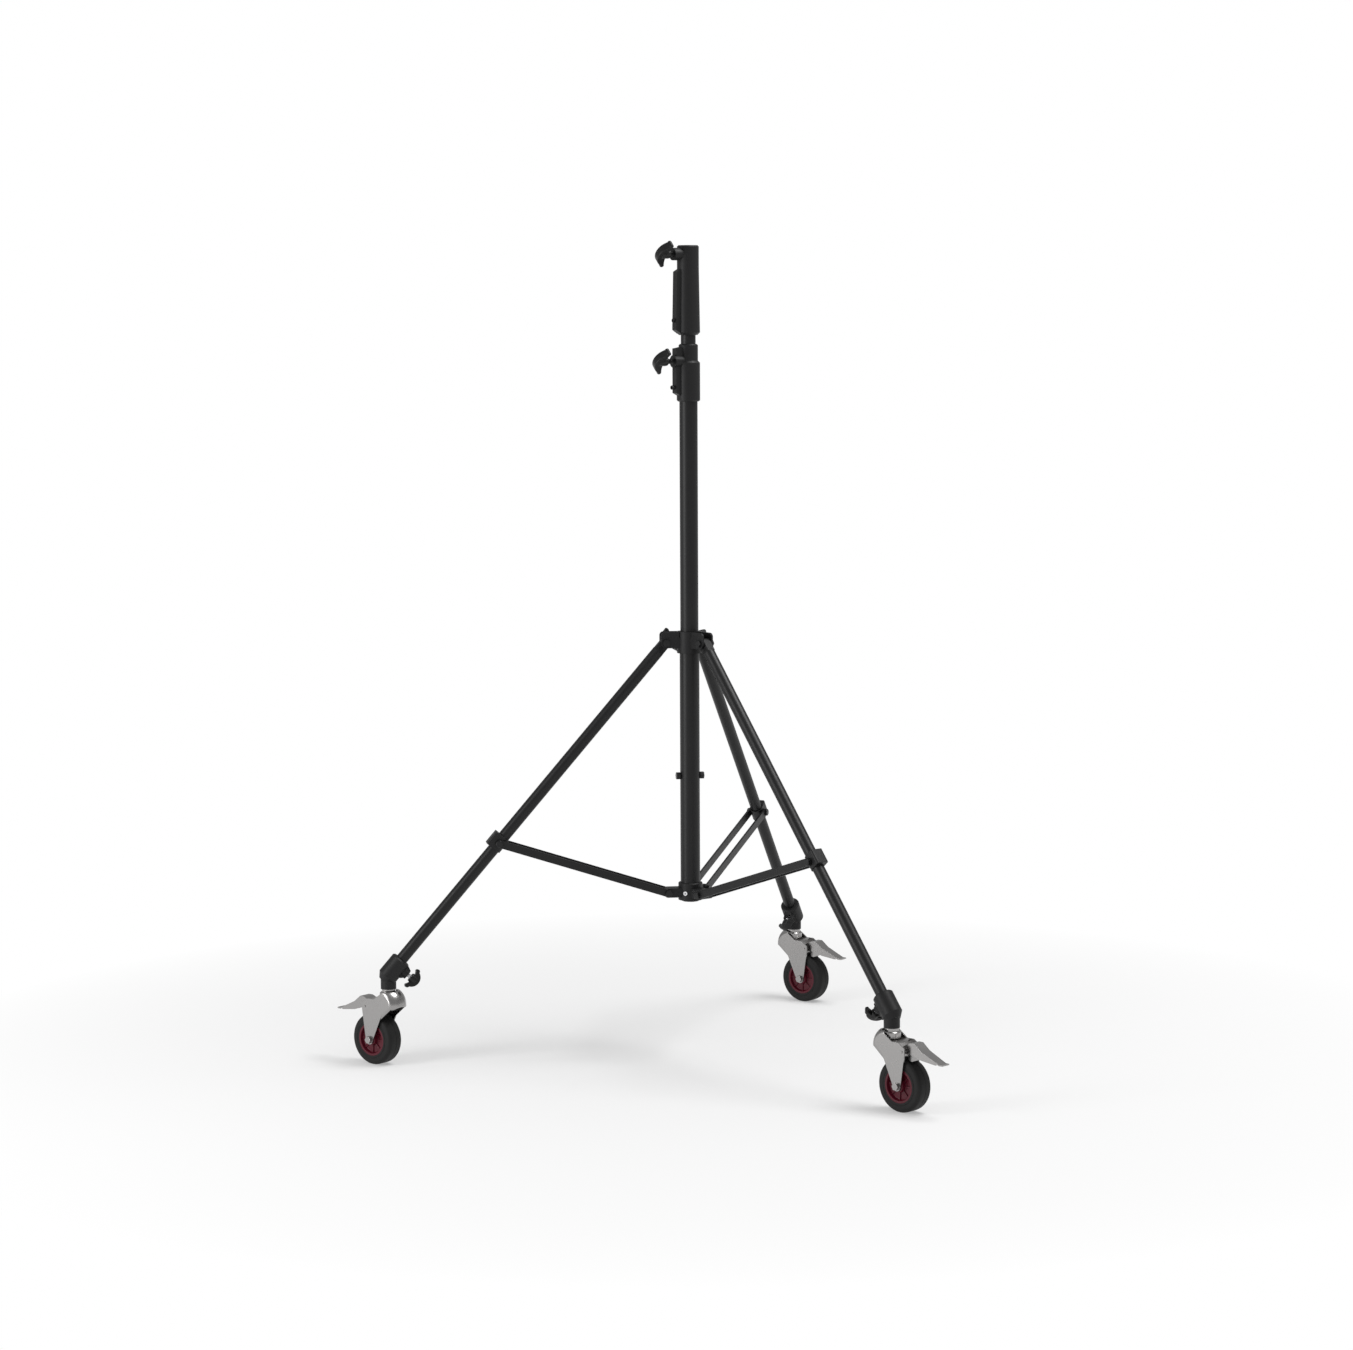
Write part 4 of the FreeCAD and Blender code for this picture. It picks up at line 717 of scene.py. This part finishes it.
@dataclass
class TKnob:
    """A T-knob: crescent wings and a hub moulded on a screw.

    Attributes:
        name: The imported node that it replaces.
        joint: The joint that turns it.
        span: Wings from tip to tip.
        thickness: Wings across.
        depth: Wings at their middle, along the screw.
        hub_length: Hub behind the wings.
        screw_radius: Radius of the screw.
        tip: Rounding of the wing tips.
        droop: Wing tips behind the middle of the knob.
        hub_radius: Radius of the hub.
        pitch: Pitch of the screw's thread.
        screw: Slot of the screw.
        past_screw: Share of the screw's radius beyond which a point is the head's.
        at_tips: Share of the knob's reach beyond which a point is a wing tip's.
    """

    name: str
    joint: str
    span: float = 0.058
    thickness: float = 0.015
    depth: float = 0.018
    hub_length: float = 0.010
    screw_radius: float = 0.005
    tip: float = 0.0045
    droop: float = 0.008
    hub_radius: float = 0.009
    pitch: float = 0.0015
    screw: Slot = Slot.HARDWARE
    past_screw: float = 1.3
    at_tips: float = 0.97

    def wings(self) -> bmesh.types.BMesh:
        """The crescent: its outline swept from one point by four arcs, raised and rounded.

        Returns:
            A closed mesh with the screw along Z and the wings along X.
        """
        shape = bmesh.new()
        reach = self.span / 2 - self.tip
        sag = self.droop - self.tip / 2
        low = self.hub_length - sag
        inner = (reach ** 2 + sag ** 2) / (2 * sag)
        rise = self.depth + sag - 2 * self.tip
        outer = (reach ** 2 + rise ** 2) / (2 * rise)
        turn_in = 2 * math.asin(reach / inner)
        turn_out = 2 * math.asin(reach / outer)
        corner = shape.verts.new((reach, 0.0, low))
        sweeps = (((0.0, 0.0, self.hub_length - inner), -turn_in, 18),
                  ((-reach, 0.0, low + self.tip), math.pi, 10),
                  ((0.0, 0.0, self.hub_length + self.depth - outer), turn_out, 26),
                  ((reach, 0.0, low + self.tip), math.pi, 10))
        for centre, angle, steps in sweeps:
            swept = bmesh.ops.spin(shape, geom=[corner], cent=centre, axis=(0.0, 1.0, 0.0),
                                   angle=angle, steps=steps, use_merge=False,
                                   use_duplicate=False)
            corner = next(part for part in swept["geom_last"]
                          if isinstance(part, bmesh.types.BMVert))
        bmesh.ops.remove_doubles(shape, verts=shape.verts[:], dist=SAME_PLACE)
        bmesh.ops.contextual_create(shape, geom=shape.edges[:])
        bmesh.ops.translate(shape, verts=shape.verts[:], vec=(0.0, -self.thickness / 2, 0.0))
        raised = bmesh.ops.extrude_face_region(shape, geom=shape.faces[:])
        tops = [part for part in raised["geom"] if isinstance(part, bmesh.types.BMVert)]
        bmesh.ops.translate(shape, verts=tops, vec=(0.0, self.thickness, 0.0))
        bmesh.ops.recalc_face_normals(shape, faces=shape.faces[:])
        rims = [edge for edge in shape.edges
                if edge.is_manifold and edge.calc_face_angle() > SQUARE]
        bevelled(shape, rims, self.tip * 0.9, 5)
        return shape

    def hub(self) -> bmesh.types.BMesh:
        """The hub under the wings, with a rounded foot and a collar."""
        shape = bmesh.new()
        top = self.hub_length + self.depth * 0.6
        radius = self.hub_radius
        turned(shape, rounded_profile((
            (0.0, 0.0, 0.0), (radius * 0.92, 0.0, 0.0012), (radius, self.hub_length * 0.45, 0.001),
            (radius, top, 0.003), (0.0, top, 0.0)), 3), 48)
        return shape

    def frame_of(self, frame: dict) -> tuple[Matrix, float]:
        """Where the knob sits at rest.


        Returns:
            The knob's own frame at its hub's inner end, and the screw's length behind it.
        """
        place, axis = joint_of(frame, self.joint)
        points = [vertex.co - place for vertex in frame["nodes"][self.name].data.vertices]
        heights = [point.dot(axis) for point in points]
        spokes = [point - axis * height for point, height in zip(points, heights)]
        foot = min(height for height, spoke in zip(heights, spokes)
                   if spoke.length > self.screw_radius * self.past_screw)
        far = max(spoke.length for spoke in spokes)
        tips = [spoke for spoke in spokes if spoke.length > self.at_tips * far]
        wing = sum((spoke if spoke.dot(tips[0]) > 0 else -spoke for spoke in tips), Vector())
        return facing(place + axis * foot, axis, wing), foot - min(heights)

    def build(self, frame: dict, materials: Materials) -> None:
        """Make the moulded head and its threaded screw.

        Args:
            materials: Materials by slot.
        """
        place, reach = self.frame_of(frame)
        body = body_of(frame, self.name)
        head = self.wings()
        joined(head, self.hub())
        head.transform(place)
        finished(head, f"{self.name}_head", materials[Slot.KNOB], body, (self.name,))
        screw = bmesh.new()
        Thread(self.screw_radius, self.pitch, reach + self.hub_length * 0.5).add(
            screw, place @ Matrix.Translation((0.0, 0.0, -reach)))
        finished(screw, f"{self.name}_screw", materials[self.screw], body,
                 (self.name,))


@dataclass
class Wheel:
    """A caster's wheel: a solid rubber tyre on a moulded, ribbed hub.

    Attributes:
        side: Which leg it is on.
        radius: Radius of the tread.
        half: Half the tyre's width.
        shoulder: Rounding of the tread's shoulders.
        rim: Radius of the tyre's seat on the hub.
        hub_half: Half the hub's length.
        boss: Radius of the boss round the axle.
        bore: Radius of the hub's bore.
        dish: Depth of the dish in each side.
        ribs: Ribs in each dish.
    """

    side: str
    radius: float = 0.050
    half: float = 0.018
    shoulder: float = 0.009
    rim: float = 0.032
    hub_half: float = 0.020
    boss: float = 0.011
    bore: float = 0.00406
    dish: float = 0.007
    ribs: int = 8

    def tyre(self) -> bmesh.types.BMesh:
        """The tyre, with moulded rings in its walls and a fine parting line on its tread."""
        shape = bmesh.new()
        half, wall = self.half, self.rim + 0.0035
        groove = half - 0.0006
        side = ((self.rim + 0.00005, half, 0.0), (wall, half, 0.0004),
                (wall + 0.0003, groove, 0.0002), (wall + 0.0013, groove, 0.0002),
                (wall + 0.0016, half, 0.0004),
                (self.radius - 0.0003, half, self.shoulder - 0.0012), (self.radius, 0.0062, 0.0))
        line = ((self.radius, 0.0007, 0.0), (self.radius - 0.0004, 0.0003, 0.0))
        upper = side + line
        lower = tuple((radius, -height, rounding) for radius, height, rounding in reversed(upper))
        turned(shape, rounded_profile(upper + lower, 8), 128)
        return shape

    def hub(self) -> bmesh.types.BMesh:
        """The hub's rim, web and boss, and the low ribs across its dishes."""
        shape = bmesh.new()
        rim, boss, web = self.rim, self.boss, self.half - self.dish
        side = ((self.bore, self.hub_half, 0.0), (boss, self.hub_half, 0.0012),
                (boss + 0.001, web, 0.0012), (rim - 0.006, web, 0.0015),
                (rim - 0.004, self.half, 0.0008), (rim, self.half, 0.0004))
        lower = tuple((radius, -height, rounding) for radius, height, rounding in reversed(side))
        turned(shape, rounded_profile(side + lower, 3), 96)
        start, end, thick = boss + 0.0005, rim - 0.0045, 0.0022
        for face in (1.0, -1.0):
            for rib in range(self.ribs):
                made = bmesh.new()
                bmesh.ops.create_cube(made, size=1.0)
                bmesh.ops.scale(made, vec=(end - start, thick, self.dish * 0.4),
                                verts=made.verts[:])
                bevelled(made, made.edges[:], 0.0005, 2)
                bmesh.ops.translate(made, verts=made.verts[:], vec=(
                    (start + end) / 2, 0.0, face * (web + self.dish * 0.2 - 0.0005)))
                made.transform(Matrix.Rotation(2 * math.pi * rib / self.ribs, 4, "Z"))
                joined(shape, made)
        return shape

    def build(self, frame: dict, materials: Materials) -> None:
        """Make the tyre and the hub on their axle.

        Args:
            materials: Materials by slot.
        """
        place = facing(*joint_of(frame, f"wheel_spin_{self.side}"))
        body = f"wheel_{self.side}"
        tyre = self.tyre()
        tyre.transform(place)
        finished(tyre, f"tyre_{self.side}_rubber", materials[Slot.RUBBER], body,
                 (f"tyre_{self.side}",))
        hub = self.hub()
        hub.transform(place)
        finished(hub, f"hub_{self.side}_moulding", materials[Slot.HUB], body,
                 (f"hub_{self.side}",))


@dataclass
class ClevisWebs:
    """The upright webs that carry the leg collar's clevises up to its rim.

    Attributes:
        inner: Their inner end from the column's axis.
        outer: Their outer end.
        height: Their top above the leg pivots.
        near: Their inner face from the middle of the clevis.
        far: Their outer face.
        corner: Rounding of their upper outer corner.
        edge: Rounding of their other edges.
    """

    inner: float = 0.0215
    outer: float = 0.0572
    height: float = 0.0208
    near: float = 0.0086
    far: float = 0.0132
    corner: float = 0.0075
    edge: float = 0.001

    def web(self, height: float, spoke: Vector, side: float) -> bmesh.types.BMesh:
        """One web beside a leg's pivot.

        Args:
            height: Height of the pivots.
            spoke: Direction of the leg, level.
            side: 1 or -1, the side of the clevis.

        Returns:
            The web in place.
        """
        shape = bmesh.new()
        bmesh.ops.create_cube(shape, size=1.0)
        bmesh.ops.scale(shape, vec=(self.outer - self.inner, self.far - self.near, self.height),
                        verts=shape.verts[:])
        middle = Vector(((self.inner + self.outer) / 2, side * (self.near + self.far) / 2,
                         self.height / 2))
        bmesh.ops.translate(shape, verts=shape.verts[:], vec=middle)
        top = [edge for edge in shape.edges
               if all(vert.co.z > middle.z and vert.co.x > middle.x for vert in edge.verts)]
        bevelled(shape, top, self.corner, 6)
        bevelled(shape, hard_edges(shape, SQUARE), self.edge, 2)
        turn = math.atan2(spoke.y, spoke.x)
        shape.transform(Matrix.Translation((0.0, 0.0, height)) @ Matrix.Rotation(turn, 4, "Z"))
        return shape

    def build(self, frame: dict, materials: Materials) -> None:
        """Make the six webs as one piece.

        Args:
            materials: Materials by slot.
        """
        webs = bmesh.new()
        for leg in SIDES:
            pivot, _ = joint_of(frame, f"leg_hinge_{leg}")
            for side in (1.0, -1.0):
                joined(webs, self.web(pivot.z, pivot, side))
        finished(webs, "clevis_webs", materials[Slot.CASTING], "collar")


@dataclass
class Stand:
    """The whole stand, part by part.

    Attributes:
        castings: Slot and rounding of the castings' edges.
        crossing: The same for the stop bolt and the tubes that it crosses.
        hardware: The same for the riser, the bolts, the screws and the end plug.
        sided: Slot, rounding and faces across it, for the nodes that each leg has.
        crossing_turn: Turn of the stop bolt and its tubes about the column's axis, which brings
            the bolt's ends to the sides that the photograph shows, in degrees.
    """

    castings: dict[str, tuple[Slot, float]] = field(default_factory=lambda: {
        "receiver": (Slot.CASTING, 0.0012), "column_clamp": (Slot.CASTING, 0.0012),
        "leg_collar": (Slot.CASTING, 0.0012), "brace_collar": (Slot.CASTING, 0.0012)})
    crossing: dict[str, tuple[Slot, float]] = field(default_factory=lambda: {
        "column_tube": (Slot.TUBE, 0.0005), "lower_sleeve": (Slot.TUBE, 0.0005),
        "stop_bolt": (Slot.HARDWARE, 0.0008)})
    hardware: dict[str, tuple[Slot, float]] = field(default_factory=lambda: {
        "riser_tube": (Slot.TUBE, 0.0005),
        "brace_pivot_bolts": (Slot.HARDWARE, 0.0007), "leg_pivot_bolts": (Slot.HARDWARE, 0.0007),
        "column_clamp_set_screw": (Slot.HARDWARE, 0.0006),
        "receiver_set_screw": (Slot.HARDWARE, 0.0006),
        "brace_collar_screw": (Slot.SCREW, 0.0008), "column_end_plug": (Slot.PLASTIC, 0.0008)})
    sided: dict[str, tuple[Slot, float, int]] = field(default_factory=lambda: {
        "leg_head": (Slot.CASTING, 0.001, 2), "foot_socket": (Slot.CASTING, 0.0012, 2),
        "brace_bracket": (Slot.TUBE, 0.0006, 1), "brace_bars": (Slot.TUBE, 0.0008, 2),
        "brace_rivets": (Slot.HARDWARE, 0.0022, 4), "caster_stem": (Slot.ZINC, 0.0005, 2),
        "caster_fork": (Slot.ZINC, 0.0006, 2), "axle": (Slot.ZINC, 0.0006, 2),
        "brake_pedal": (Slot.ZINC, 0.0006, 2)})
    crossing_turn: float = -75.0

    def knobs(self) -> list[TKnob]:
        """The three T-knobs up the column and one at each foot."""
        upper = [TKnob(name, f"{name}_turn")
                 for name in ("receiver_knob", "column_clamp_knob", "leg_collar_knob")]
        feet = [TKnob(f"foot_knob_{side}", f"foot_knob_turn_{side}", span=0.042, thickness=0.013,
                      depth=0.014, hub_length=0.006, screw_radius=0.004, pitch=0.00125,
                      screw=Slot.SCREW)
                for side in SIDES]
        return upper + feet

    def forms(self) -> list[Softened]:
        """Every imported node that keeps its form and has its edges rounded."""
        made = [Softened(node, *finish) for node, finish in self.castings.items()]
        made += [Softened(node, *finish, turn=self.crossing_turn)
                 for node, finish in self.crossing.items()]
        made += [Softened(node, *finish) for node, finish in self.hardware.items()]
        made += [Softened(f"{node}_{side}", *finish)
                 for side in SIDES for node, finish in self.sided.items()]
        return made

    def build(self, frame: dict, materials: Materials) -> None:
        """Build every piece.

        Args:
            materials: Materials by slot.
        """
        for form in self.forms():
            form.build(frame, materials)
        ClevisWebs().build(frame, materials)
        for knob in self.knobs():
            knob.build(frame, materials)
        for side in SIDES:
            Wheel(side).build(frame, materials)


def dress_nodes(frame: dict, materials: Materials) -> None:
    """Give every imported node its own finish.

    Args:
        materials: Materials by slot.
    """
    slots = {entry["node"]: entry["material_slot"] for entry in frame["record"]["subparts"]}
    for name, item in frame["nodes"].items():
        item.data.materials.clear()
        item.data.materials.append(materials[Slot(slots[name])])


def main() -> None:
    """Load the frame, build the pieces and the studio, and finish."""
    logging.basicConfig(level=logging.INFO, format="%(message)s")
    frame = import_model()
    materials = {slot: finish.build() for slot, finish in FINISHES.items()}
    dress_nodes(frame, materials)
    Stand().build(frame, materials)
    Studio().build()


if __name__ == "__main__":
    main()
